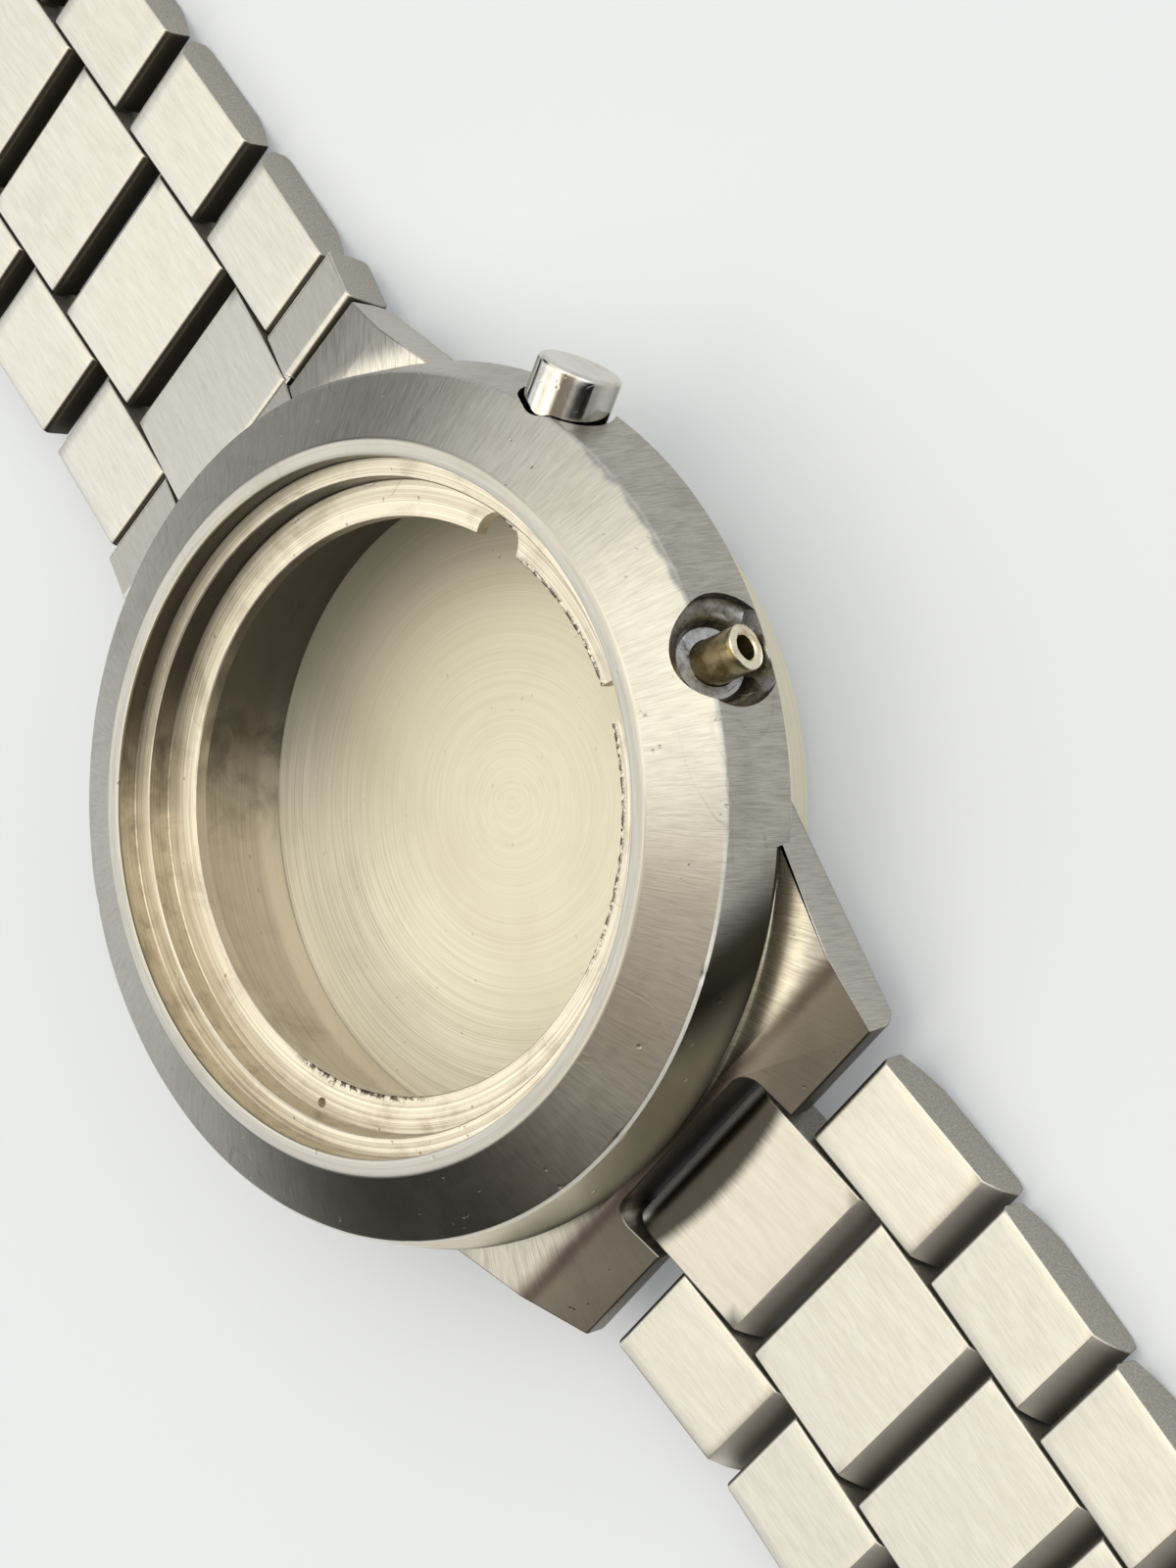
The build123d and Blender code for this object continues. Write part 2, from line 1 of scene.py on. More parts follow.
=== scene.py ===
import json
import logging
import math
from collections.abc import Callable, Iterator, Sequence
from contextlib import contextmanager
from dataclasses import dataclass, field
from enum import Enum, IntEnum
from typing import Any

import bmesh
import bpy
from mathutils import Matrix, Vector, noise


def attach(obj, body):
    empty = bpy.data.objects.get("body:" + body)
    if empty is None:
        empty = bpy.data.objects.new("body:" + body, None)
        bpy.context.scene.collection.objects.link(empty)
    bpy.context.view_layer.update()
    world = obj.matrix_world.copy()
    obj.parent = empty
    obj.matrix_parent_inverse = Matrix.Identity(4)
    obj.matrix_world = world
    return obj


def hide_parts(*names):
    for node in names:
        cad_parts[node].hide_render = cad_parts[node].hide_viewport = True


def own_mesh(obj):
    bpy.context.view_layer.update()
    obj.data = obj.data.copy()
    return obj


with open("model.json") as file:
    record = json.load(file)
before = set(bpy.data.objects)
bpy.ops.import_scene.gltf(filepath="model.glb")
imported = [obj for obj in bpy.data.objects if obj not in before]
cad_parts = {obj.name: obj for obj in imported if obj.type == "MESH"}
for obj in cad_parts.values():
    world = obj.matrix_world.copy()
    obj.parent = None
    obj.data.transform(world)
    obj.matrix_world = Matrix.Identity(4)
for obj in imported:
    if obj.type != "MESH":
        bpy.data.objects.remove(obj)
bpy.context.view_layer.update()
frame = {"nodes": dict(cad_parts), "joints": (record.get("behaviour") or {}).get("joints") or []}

log = logging.getLogger("watch case")

MM = 0.001                    # sizes are written in millimetres, meshes are in metres

Colour = tuple[float, float, float]
Point = tuple[float, float, float]
Span = tuple[float, float]    # where a soft step begins and where it ends


@dataclass(frozen=True)
class Station:
    """Level line that leaves the head's axis, at degrees round from 3 o'clock and at a height."""

    azimuth: float
    height: float

    def outward(self) -> Vector:
        """Direction of the line."""
        turn = math.radians(self.azimuth)
        return Vector((math.cos(turn), math.sin(turn), 0.0))

    def turn(self) -> Matrix:
        """Rotation from 3 o'clock to the line."""
        return Matrix.Rotation(math.radians(self.azimuth), 4, "Z")

    def point(self, reach: float) -> Vector:
        """Point at a distance along the line, in millimetres."""
        return self.outward() * reach + Vector((0.0, 0.0, self.height))

    def lay(self, mesh: bpy.types.Mesh, reach: float = 0.0, tilt: float = 0.0) -> bpy.types.Mesh:
        """Lay a mesh modelled along Z on the line.

        Args:
            mesh: Mesh to place.
            reach: Distance along the line of the mesh's own origin.
            tilt: Degrees that the mesh points up from the line.

        Returns:
            The same mesh.
        """
        place = self.turn() @ Matrix.Translation((reach * MM, 0, self.height * MM))
        mesh.transform(place @ Matrix.Rotation(math.radians(90 - tilt), 4, "Y"))
        return mesh


CROWN = Station(-22.1, 7.83)
RECESS = Station(-22.1, 8.80)
RECESS_REACH = 21.00          # distance along its line of the point that the recess is turned about
RECESS_TILT = 22.0
BUTTON = Station(20.6, 8.05)
FOOT_HEIGHT = 6.49            # foot of the case band
FLANGE_RADIUS = 13.70         # inner edge of the dial flange


class Signal:
    """Output of a node that takes part in Python arithmetic; each operator adds a Math node."""

    def __init__(self, nodes: "Nodes", socket: bpy.types.NodeSocket) -> None:
        """Wrap one output socket of a tree."""
        self.nodes = nodes
        self.socket = socket

    def _math(self, operation: str, first: "Value", second: "Value") -> "Signal":
        """Math node of two values."""
        return self.nodes.add("ShaderNodeMath", {"operation": operation}, {0: first, 1: second})

    def __add__(self, other: "Value") -> "Signal":
        """Sum."""
        return self._math("ADD", self, other)

    __radd__ = __add__

    def __sub__(self, other: "Value") -> "Signal":
        """Difference."""
        return self._math("SUBTRACT", self, other)

    def __rsub__(self, other: "Value") -> "Signal":
        """Difference from a number."""
        return self._math("SUBTRACT", other, self)

    def __mul__(self, other: "Value") -> "Signal":
        """Product."""
        return self._math("MULTIPLY", self, other)

    __rmul__ = __mul__

    def __truediv__(self, other: "Value") -> "Signal":
        """Quotient."""
        return self._math("DIVIDE", self, other)

    def __abs__(self) -> "Signal":
        """Size without its sign."""
        return self._math("ABSOLUTE", self, 0.0)

    def sine(self) -> "Signal":
        """Sine of an angle in radians."""
        return self._math("SINE", self, 0.0)

    def at_most(self, other: "Value") -> "Signal":
        """The lesser of two values."""
        return self._math("MINIMUM", self, other)

    def at_least(self, other: "Value") -> "Signal":
        """The greater of two values."""
        return self._math("MAXIMUM", self, other)


Value = Signal | float


class Nodes:
    """Adds and links the nodes of one shader or geometry tree."""

    def __init__(self, tree: bpy.types.NodeTree) -> None:
        """Work on one tree."""
        self.tree = tree

    def add(self, kind: str, settings: dict[str, Any] | None = None,
            inputs: dict[int | str, Any] | None = None, output: int | str = 0) -> Signal:
        """Add a node.

        Args:
            kind: Blender's name of the node type.
            settings: Properties, set before the sockets.
            inputs: Values or signals of the input sockets, by name or number.
            output: Which output comes back.

        Returns:
            The chosen output.
        """
        node = self.tree.nodes.new(kind)
        for name, value in (settings or {}).items():
            setattr(node, name, value)
        for key, value in (inputs or {}).items():
            if isinstance(value, Signal):
                self.tree.links.new(value.socket, node.inputs[key])
            else:
                node.inputs[key].default_value = value
        return Signal(self, node.outputs[output])

    def vector(self, operation: str, first: Any, second: Any = (0.0, 0.0, 0.0)) -> Signal:
        """Vector Math node; a dot product or a length gives a number."""
        output = 1 if operation in ("DOT_PRODUCT", "LENGTH") else 0
        return self.add("ShaderNodeVectorMath", {"operation": operation}, {0: first, 1: second}, output)

    def join(self, x: Value, y: Value, z: Value) -> Signal:
        """Vector of three numbers."""
        return self.add("ShaderNodeCombineXYZ", None, {0: x, 1: y, 2: z})

    def split(self, vector: Signal) -> tuple[Signal, Signal, Signal]:
        """Three numbers of a vector."""
        node = self.tree.nodes.new("ShaderNodeSeparateXYZ")
        self.tree.links.new(vector.socket, node.inputs[0])
        return tuple(Signal(self, socket) for socket in node.outputs)

    def noise(self, where: Signal, scale: float = 1.0, detail: float = 2.0, rough: float = 0.5,
              warp: float = 0.0) -> Signal:
        """Noise between 0 and 1 about 0.5."""
        return self.add("ShaderNodeTexNoise", None, {
            "Vector": where, "Scale": scale, "Detail": detail, "Roughness": rough, "Distortion": warp})

    def step(self, value: Value, low: float, high: float) -> Signal:
        """Smooth rise from 0 at low to 1 at high, or a fall where high is the lesser."""
        node = {"interpolation_type": "SMOOTHSTEP"}
        if low < high:
            return self.add("ShaderNodeMapRange", node, {"Value": value, "From Min": low, "From Max": high})
        rise = self.add("ShaderNodeMapRange", node, {"Value": value, "From Min": high, "From Max": low})
        return 1.0 - rise

    def mix(self, factor: Value, first: Any, second: Any, blend: str = "MIX") -> Signal:
        """Mix of two colours."""
        colours = [value if isinstance(value, Signal) else (*value, 1.0) for value in (first, second)]
        return self.add("ShaderNodeMix", {"data_type": "RGBA", "blend_type": blend},
                        {0: factor, 6: colours[0], 7: colours[1]}, 2)

    def scaled(self, vector: Signal, by: Value) -> Signal:
        """Vector times a number."""
        result = self.vector("SCALE", vector)
        if isinstance(by, Signal):
            self.tree.links.new(by.socket, result.socket.node.inputs["Scale"])
        else:
            result.socket.node.inputs["Scale"].default_value = by
        return result

    def bump(self, height: Value) -> Signal:
        """Normal of a surface with a height in millimetres."""
        return self.add("ShaderNodeBump", None, {"Strength": 1.0, "Distance": MM, "Height": height})


class Grain(Enum):
    """Way in which the tool marks of a finish run."""

    LENGTHWISE = "along the bracelet"
    CROSSWISE = "across the bracelet"
    RADIAL = "outwards from the head's axis, and up its sides"
    TURNED = "round the head's axis"
    SANDED = "no way in particular"


@dataclass(frozen=True)
class Arc:
    """Stretch round the head in degrees: gone at far from its middle, and full from near inwards."""

    middle: float
    far: float
    near: float


class Surface:
    """Places, directions and tool marks that the finishes of one material share, in millimetres.

    facing holds how far the surface faces along each axis, 0 to 1. outward is how far it faces away from the
    head along the bracelet, -1 to 1.
    """

    def __init__(self, nodes: Nodes) -> None:
        """Add the coordinates to a material's tree."""
        self.nodes = nodes
        self.where = nodes.scaled(nodes.add("ShaderNodeTexCoord", output="Object"), 1 / MM)
        self.x, self.y, self.z = nodes.split(self.where)
        facing = nodes.add("ShaderNodeTexCoord", output="Normal")
        self.facing = tuple(abs(part) for part in nodes.split(facing))
        self.radius = nodes.vector("LENGTH", nodes.join(self.x, self.y, 0.0))
        self.round = nodes.vector("NORMALIZE", nodes.join(self.x, self.y, 0.0))
        self.outward = nodes.split(facing)[1] * nodes.add("ShaderNodeMath", {"operation": "SIGN"}, {0: self.y})

    def marks(self, grain: Grain, spacing: float, run: float, reach: float = 20.0) -> Signal:
        """Tool marks as noise drawn out along the grain.

        Args:
            grain: Way of the marks.
            spacing: Distance between marks.
            run: Length of a mark in spacings.
            reach: Radius at which radial marks have this spacing.

        Returns:
            Noise between 0 and 1.
        """
        nodes = self.nodes
        across, along = 1 / spacing, 1 / (spacing * run)
        if grain is Grain.LENGTHWISE:
            place = nodes.join(self.x * across, self.y * along, self.z * along)
        elif grain is Grain.CROSSWISE:
            place = nodes.join(self.x * along, self.y * across, self.z * across)
        elif grain is Grain.RADIAL:
            rim_x, rim_y, _ = nodes.split(self.round)
            place = nodes.join(rim_x * (reach * across), rim_y * (reach * across), (self.radius + self.z) * along)
        elif grain is Grain.TURNED:
            rim_x, rim_y, _ = nodes.split(self.round)
            place = nodes.join(self.radius * across, self.z * across, (rim_x + rim_y * 1.3) * (reach * along))
        else:
            place = nodes.join(self.x * across, self.y * across, self.z * across)
        return nodes.noise(place, 1.0, 3.0, 0.65)

    def blotches(self, size: float, low: float, high: float) -> Signal:
        """Soft patches of about a size in millimetres, 0 outside and 1 inside."""
        return self.nodes.step(self.nodes.noise(self.where, 1 / size, 4.0, 0.6, 0.6), low, high)

    def azimuth(self) -> Signal:
        """Degrees round the head's axis from 3 o'clock, positive towards 12 o'clock."""
        turn = self.nodes.add("ShaderNodeMath", {"operation": "ARCTAN2"}, {0: self.y, 1: self.x})
        return turn * (180 / math.pi)

    def on(self, arc: Arc) -> Signal:
        """1 on an arc and 0 off it."""
        return self.nodes.step(abs(self.azimuth() - arc.middle), arc.far, arc.near)

    def scratches(self, size: float, width: float) -> Signal:
        """Thin curved lines about a size apart, 1 on the line; width is a share of that size."""
        field_value = self.nodes.noise(self.where, 1 / size, 1.0, 0.4, 0.8)
        lines = self.nodes.step(abs(field_value - 0.5), width, width * 0.3)
        return lines * self.nodes.step(self.nodes.noise(self.where, 0.7 / size, 2.0, 0.5), 0.52, 0.60)

    def pits(self, size: float, share: float) -> Signal:
        """Small round pits, 1 inside; share sets how many of the cells have one."""
        cell = self.nodes.add("ShaderNodeTexVoronoi", {"voronoi_dimensions": "3D", "feature": "F1"},
                              {"Vector": self.where, "Scale": 1 / size, "Randomness": 1.0}, "Distance")
        chosen = self.nodes.step(self.nodes.noise(self.where, 0.45 / size, 1.0, 0.5), 1 - share, 1.02 - share)
        return self.nodes.step(cell, 0.30, 0.12) * chosen


def new_material(name: str) -> tuple[bpy.types.Material, Nodes, bpy.types.ShaderNodeBsdfPrincipled]:
    """Material with only its shader, and the builder of its nodes."""
    material = bpy.data.materials.new(name)
    material.use_nodes = True
    shader = next(node for node in material.node_tree.nodes if node.type == "BSDF_PRINCIPLED")
    return material, Nodes(material.node_tree), shader


def feed(nodes: Nodes, shader: bpy.types.Node, **values: Any) -> None:
    """Set or link the sockets of a shader; an underscore in a name stands for a space."""
    for name, value in values.items():
        socket = shader.inputs[name.replace("_", " ")]
        if isinstance(value, Signal):
            nodes.tree.links.new(value.socket, socket)
        else:
            socket.default_value = (*value, 1.0) if isinstance(value, tuple) else value


@dataclass(frozen=True)
class SteelFinish:
    """Bare steel with tool marks, tarnish, scratches and pits."""

    name: str
    tint: Colour
    shade: Colour                     # tint of its tarnish and of the foot of its marks
    grain: Grain
    spacing: float = 0.11
    run: float = 45.0
    tone: float = 0.30                # how far the marks darken the tint
    broad_tone: float = 0.45          # share of that which broad marks have
    relief: float = 0.0035            # height of the marks
    roughness: float = 0.30
    tarnish: float = 0.25             # share of tarnish in its patches
    patch: float = 5.0
    pit_size: float = 0.6
    pit_share: float = 0.32
    pit_depth: float = 0.02
    pit_tone: float = 0.28
    metallic: float = 1.0
    scratch: float = 0.12             # how far scratches darken the tint

    def build(self) -> bpy.types.Material:
        """Make the material."""
        material, nodes, shader = new_material(self.name)
        surface = Surface(nodes)
        marks = surface.marks(self.grain, self.spacing, self.run)
        broad = surface.marks(self.grain, self.spacing * 3.5, self.run * 0.5)
        patches = surface.blotches(self.patch, 0.45, 0.75)
        pits = surface.pits(self.pit_size, self.pit_share)
        scratches = surface.scratches(self.patch * 1.6, 0.010)
        foot = nodes.step(marks, 0.66, 0.30) * self.tone + nodes.step(broad, 0.62, 0.35) * (self.tone * self.broad_tone)
        dark = (foot + patches * self.tarnish + pits * self.pit_tone + scratches * self.scratch).at_most(1.0)
        colour = self.shaded(nodes, surface, nodes.mix(dark, self.tint, self.shade))
        rough = (marks - 0.5) * 0.12 + patches * 0.05 + self.roughness
        height = (marks * self.relief + broad * (self.relief * self.broad_tone * 2.0)
                  - pits * self.pit_depth - scratches * (self.scratch * self.relief * 16.0))
        feed(nodes, shader, Base_Color=colour, Roughness=rough, Normal=nodes.bump(height),
             Metallic=self.metal(nodes, surface))
        return material

    def shaded(self, nodes: Nodes, surface: Surface, colour: Signal) -> Signal:
        """Colour with the stains that only some places have; a plain finish has none."""
        return colour

    def metal(self, nodes: Nodes, surface: Surface) -> Value:
        """Metallic share; a plain finish has the same everywhere."""
        return self.metallic


@dataclass(frozen=True)
class BezelFinish(SteelFinish):
    """Bezel: painted shade on its lower left, a browner, darker tone between there and the crown, and a painted
    highlight on its outer edge round 7 o'clock.
    """

    # painted shade on the lower left of the cone
    painted_shade: Colour = (0.11, 0.10, 0.08)
    shade_arc: Arc = Arc(-121.0, 48.0, 4.0)
    # browner, darker tone round 5 o'clock
    brown_tone: Colour = (0.25, 0.215, 0.18)
    brown_arc: Arc = Arc(-64.0, 22.0, 8.0)
    # painted highlight along the outer edge round 7 o'clock
    edge_highlight: Colour = (0.86, 0.84, 0.78)
    edge_arc: Arc = Arc(-108.0, 58.0, 46.0)
    edge_radii: Span = (20.36, 20.42)
    tone_radii: Span = (20.43, 20.36)

    def edge(self, nodes: Nodes, surface: Surface) -> Signal:
        """Outer edge round 7 o'clock, where a pale line is painted as a highlight."""
        return nodes.step(surface.radius, *self.edge_radii) * surface.on(self.edge_arc)

    def metal(self, nodes: Nodes, surface: Surface) -> Value:
        """Less mirror-like on the edge, so that the painted highlight there shows bright."""
        return 1.0 - self.edge(nodes, surface) * 0.55

    def shaded(self, nodes: Nodes, surface: Surface, colour: Signal) -> Signal:
        """Painted shade round 7 o'clock, a browner tone round 5 o'clock and the painted highlight on the edge."""
        inside = nodes.step(surface.radius, *self.tone_radii)
        toned = nodes.mix(surface.on(self.brown_arc) * 0.45 * inside, colour, self.brown_tone)
        shaded_cone = nodes.mix(surface.on(self.shade_arc) * 0.92 * inside, toned, self.painted_shade)
        return nodes.mix(self.edge(nodes, surface) * 0.85, shaded_cone, self.edge_highlight)


@dataclass(frozen=True)
class BandFinish(SteelFinish):
    """Case band: brushed, with a painted dark reflection towards the lower horns and a painted lighter olive reflection
    beyond it.
    """

    # painted dark reflection
    wedge: Colour = (0.040, 0.035, 0.024)
    wedge_turn: Span = (-41.0, -54.0)
    # painted lighter reflection, olive
    olive: Colour = (0.74, 0.66, 0.49)
    olive_turn: Span = (-58.0, -72.0)
    olive_heights: Span = (6.9, 8.2)
    lean: float = 2.5                 # degrees that these painted reflections lean for each millimetre up
    low_side: Span = (-2.0, -8.0)

    def shaded(self, nodes: Nodes, surface: Surface, colour: Signal) -> Signal:
        """Painted dark reflection in a wedge that widens round the band, and a painted lighter olive reflection beyond
        it.
        """
        turn = surface.azimuth()
        rise = (surface.z - FOOT_HEIGHT) * self.lean
        into = nodes.step(turn + rise, *self.wedge_turn)
        beyond = nodes.step(turn + rise, *self.olive_turn) * nodes.step(surface.z, *self.olive_heights)
        # mix of the two painted reflections
        wear_and_reflection = nodes.mix(beyond, self.wedge, self.olive)
        low_side = nodes.step(surface.y, *self.low_side)
        return nodes.mix(into * low_side, colour, wear_and_reflection)


@dataclass(frozen=True)
class CavityFinish(SteelFinish):
    """Inner wall: brown stains, with painted shade towards 12 o'clock and painted light at its foot."""

    # painted shade, darkest towards 12 o'clock
    deep: Colour = (0.055, 0.046, 0.033)
    deep_places: Span = (8.5, 14.0)
    # painted light at the foot of the wall
    foot: Colour = (0.80, 0.735, 0.60)
    foot_heights: Span = (3.1, 2.2)

    def shaded(self, nodes: Nodes, surface: Surface, colour: Signal) -> Signal:
        """Painted shade towards 12 o'clock with a streaky edge, and painted light at the foot."""
        streaks = surface.blotches(3.2, 0.42, 0.66)
        top = nodes.step(surface.y + (streaks - 0.5) * 1.2, *self.deep_places)
        lit = nodes.mix(nodes.step(surface.z, *self.foot_heights) * 0.7, colour, self.foot)
        return nodes.mix(top * 0.92, lit, self.deep)


@dataclass(frozen=True)
class LedgeFinish(SteelFinish):
    """Turned ledges, with crumbs of dark dirt along two stretches of the flange's inner edge."""

    crumb: Colour = (0.05, 0.038, 0.026)
    crown_side: Arc = Arc(-30.0, 50.0, 38.0)
    low_side: Arc = Arc(-143.0, 22.0, 12.0)

    def shaded(self, nodes: Nodes, surface: Surface, colour: Signal) -> Signal:
        """Crumbs on the last quarter millimetre of the flange."""
        grit = nodes.noise(surface.where, 2.5, 3.0, 0.7)
        rim = nodes.step(surface.radius + (grit - 0.5) * 0.9, FLANGE_RADIUS + 0.38, FLANGE_RADIUS + 0.14)
        side = surface.on(self.crown_side).at_least(surface.on(self.low_side))
        return nodes.mix(rim * side * nodes.step(grit, 0.44, 0.52), colour, self.crumb)


@dataclass(frozen=True)
class BackFinish(SteelFinish):
    """Case back's floor: darker and yellower over most of it, partly an oil film, and paler towards 9 o'clock, painted
    light where the wall shades the floor.
    """

    # darker yellow tone: partly oil film, partly painted shade against the pale left
    film_and_shade_tone: Colour = (0.60, 0.555, 0.42)
    film_and_light_places: Span = (-11.5, -4.5)

    def shaded(self, nodes: Nodes, surface: Surface, colour: Signal) -> Signal:
        """Darker yellow tone, partly an oil film, that gives way towards 9 o'clock to the paler tint, painted light
        there.
        """
        return nodes.mix(nodes.step(surface.x, *self.film_and_light_places) * 0.75, colour, self.film_and_shade_tone)


@dataclass(frozen=True)
class RecessFinish(SteelFinish):
    """Crown recess: blue-grey steel with a painted highlight in a thin bright ring round its axis."""

    ring_radius: float = 2.12
    # painted highlight
    highlight_tint: Colour = (0.86, 0.89, 0.95)

    def shaded(self, nodes: Nodes, surface: Surface, colour: Signal) -> Signal:
        """Painted highlight: thin bright ring round the recess's axis."""
        tilt = math.radians(RECESS_TILT)
        axis = RECESS.outward() * math.cos(tilt) + Vector((0.0, 0.0, math.sin(tilt)))
        arm = nodes.vector("SUBTRACT", surface.where, tuple(RECESS.point(RECESS_REACH)))
        reach = nodes.vector("LENGTH", nodes.vector("CROSS_PRODUCT", arm, tuple(axis)))
        ring = nodes.step(abs(reach - self.ring_radius), 0.13, 0.05)
        return nodes.mix(ring * nodes.step(surface.blotches(0.8, 0.3, 0.6), 0.9, 0.2), colour, self.highlight_tint)


@dataclass(frozen=True)
class ButtonFinish(SteelFinish):
    """Polished button with two dark stripes along the right of its side, painted reflections of dark things in the
    room.
    """

    # painted dark reflection
    dark: Colour = (0.13, 0.12, 0.11)
    side_reach: Span = (22.66, 22.50)     # where the side ends and the face begins

    def shaded(self, nodes: Nodes, surface: Surface, colour: Signal) -> Signal:
        """Painted dark reflections in stripes along the button's side."""
        outward = BUTTON.outward()
        across = surface.y * outward.x - surface.x * outward.y
        stripes = nodes.step(abs(across + 1.02), 0.34, 0.16) + nodes.step(abs(across + 1.85), 0.22, 0.08) * 0.8
        along = surface.x * outward.x + surface.y * outward.y
        return nodes.mix(stripes * nodes.step(along, *self.side_reach) * 0.75, colour, self.dark)


@dataclass(frozen=True)
class HornFinish(SteelFinish):
    """Horns: bright upper facet, painted shade in a dark band along the fold and on the end facet beyond it, and
    painted light beside the band.
    """

    fold_reach: float = 20.40            # the fold's own reach, and what its rounding adds
    # painted shade along the fold
    band: Colour = (0.062, 0.044, 0.035)
    # painted shade on the end facet
    outer: Colour = (0.125, 0.112, 0.090)
    flank: Colour = (0.50, 0.485, 0.44)
    light_divisor: Colour = (0.46, 0.47, 0.50)  # divides the tint: painted light where the band's foot shades the horn
    light_radii: Span = (22.9, 21.6)
    light_places: Span = (0.0, 6.0)
    low_side: Span = (4.0, -4.0)

    def shaded(self, nodes: Nodes, surface: Surface, colour: Signal) -> Signal:
        """Painted shade in a band at the fold and on the end facet beyond it, painted light beside the band, and matte
        flanks.
        """
        reach = abs(surface.y) + (nodes.noise(surface.where, 1.2, 2.0, 0.5) - 0.5) * 0.20
        beyond = nodes.step(reach, self.fold_reach - 1.00, self.fold_reach + 0.05)
        past = nodes.step(reach, self.fold_reach + 0.10, self.fold_reach + 0.60)
        # painted light beside the band, where its foot shades the horn
        painted_light = nodes.step(surface.radius, *self.light_radii) * nodes.step(surface.x, *self.light_places)
        colour = nodes.mix(painted_light, colour, self.light_divisor, "DIVIDE")
        # painted shade of the fold band and end facet
        painted_shade = nodes.mix(past, self.band, self.outer)
        lower = nodes.step(surface.outward, -0.30, 0.0) * nodes.step(surface.y, *self.low_side)
        tops = nodes.mix(beyond * lower, colour, nodes.mix(0.10, painted_shade, colour))
        side = nodes.step(surface.facing[0], 0.55, 0.85)
        lines = nodes.noise(nodes.join(0.0, surface.y * 11.0 + surface.x * 2.0, surface.z * 0.6), 1.0, 3.0, 0.65)
        hatch = nodes.step(lines, 0.62, 0.36) * 0.36
        return nodes.mix(side, tops, nodes.mix(hatch, self.flank, self.shade))


@dataclass(frozen=True)
class LinkFinish:
    """Bracelet steel: tops brushed lengthwise, matte sides, and ends painted lighter at the top and darker at the foot,
    with painted shade on the near ends and beside the head.
    """

    name: str
    top: Colour = (0.56, 0.545, 0.49)
    top_shade: Colour = (0.36, 0.335, 0.28)
    side: Colour = (0.43, 0.41, 0.365)
    side_shade: Colour = (0.26, 0.245, 0.21)
    # painted light at the top of the end faces; the next colour is painted shade at their foot
    end: Colour = (1.0, 0.95, 0.86)
    end_shade: Colour = (0.24, 0.22, 0.185)
    # painted shade on the near ends, and painted light on those beside the head
    nose: Colour = (0.075, 0.068, 0.058)
    nose_light_by_head: Colour = (0.95, 0.94, 0.97)
    end_heights: Span = (1.1, 2.7)
    shadow: Colour = (0.030, 0.025, 0.018)    # painted shade on the first link, beside the head
    shadow_radii: Span = (23.85, 23.10)
    low_side: Span = (0.0, -4.0)
    spacing: float = 0.055
    run: float = 22.0
    relief: float = 0.002
    roughness: float = 0.34

    def build(self) -> bpy.types.Material:
        """Make the material."""
        material, nodes, shader = new_material(self.name)
        surface = Surface(nodes)
        marks = surface.marks(Grain.LENGTHWISE, self.spacing, self.run)
        broad = surface.marks(Grain.LENGTHWISE, self.spacing * 6, self.run * 0.4)
        speckle = surface.marks(Grain.SANDED, self.spacing * 1.6, 1.0)
        patches = surface.blotches(4.5, 0.48, 0.78)
        is_side = nodes.step(surface.facing[0], 0.55, 0.85)
        is_end = nodes.step(surface.facing[1], 0.35, 0.65)
        streaks = nodes.step(marks, 0.64, 0.32) * 0.30 + nodes.step(broad, 0.62, 0.38) * 0.16 + patches * 0.10
        top = nodes.mix(streaks, self.top, self.top_shade)
        ragged = surface.radius + (marks - 0.5) * 0.25
        # painted shade beside the head, with a ragged edge
        near_head = nodes.step(ragged, *self.shadow_radii) * nodes.step(surface.y, *self.low_side)
        top = nodes.mix(near_head * 0.95, top, self.shadow)
        side = nodes.mix(nodes.step(speckle, 0.62, 0.34) * 0.8, self.side, self.side_shade)
        # near ends take painted shade, lightened by painted light beside the head
        is_nose = nodes.step(surface.outward, -0.25, -0.6)
        # end faces painted lighter at the top and darker at the foot
        face = nodes.mix(nodes.step(surface.z, *self.end_heights), self.end_shade, self.end)
        nose = nodes.mix(near_head, self.nose, self.nose_light_by_head)
        ends = nodes.mix(is_nose, nodes.mix(is_end, top, face), nose)
        colour = nodes.mix(is_side, ends, side)
        rough = (marks - 0.5) * 0.12 + is_side * 0.14 + is_end * 0.16 + self.roughness
        height = (marks + broad) * (1.0 - is_side) * self.relief + speckle * is_side * (self.relief * 2.0)
        feed(nodes, shader, Base_Color=colour, Roughness=rough, Normal=nodes.bump(height), Metallic=1.0)
        return material


@dataclass(frozen=True)
class BrassFinish:
    """Old brass with brown stains."""

    name: str
    tint: Colour = (0.37, 0.31, 0.175)
    stain: Colour = (0.15, 0.10, 0.035)
    roughness: float = 0.32
    relief: float = 0.01

    def build(self) -> bpy.types.Material:
        """Make the material."""
        material, nodes, shader = new_material(self.name)
        surface = Surface(nodes)
        stains = surface.blotches(0.9, 0.42, 0.66)
        fine = surface.marks(Grain.SANDED, 0.12, 1.0)
        colour = nodes.mix((stains * 0.75 + nodes.step(fine, 0.6, 0.3) * 0.3).at_most(1.0), self.tint, self.stain)
        rough = stains * 0.2 + (fine - 0.5) * 0.2 + self.roughness
        feed(nodes, shader, Base_Color=colour, Roughness=rough, Normal=nodes.bump(fine * self.relief), Metallic=1.0)
        return material


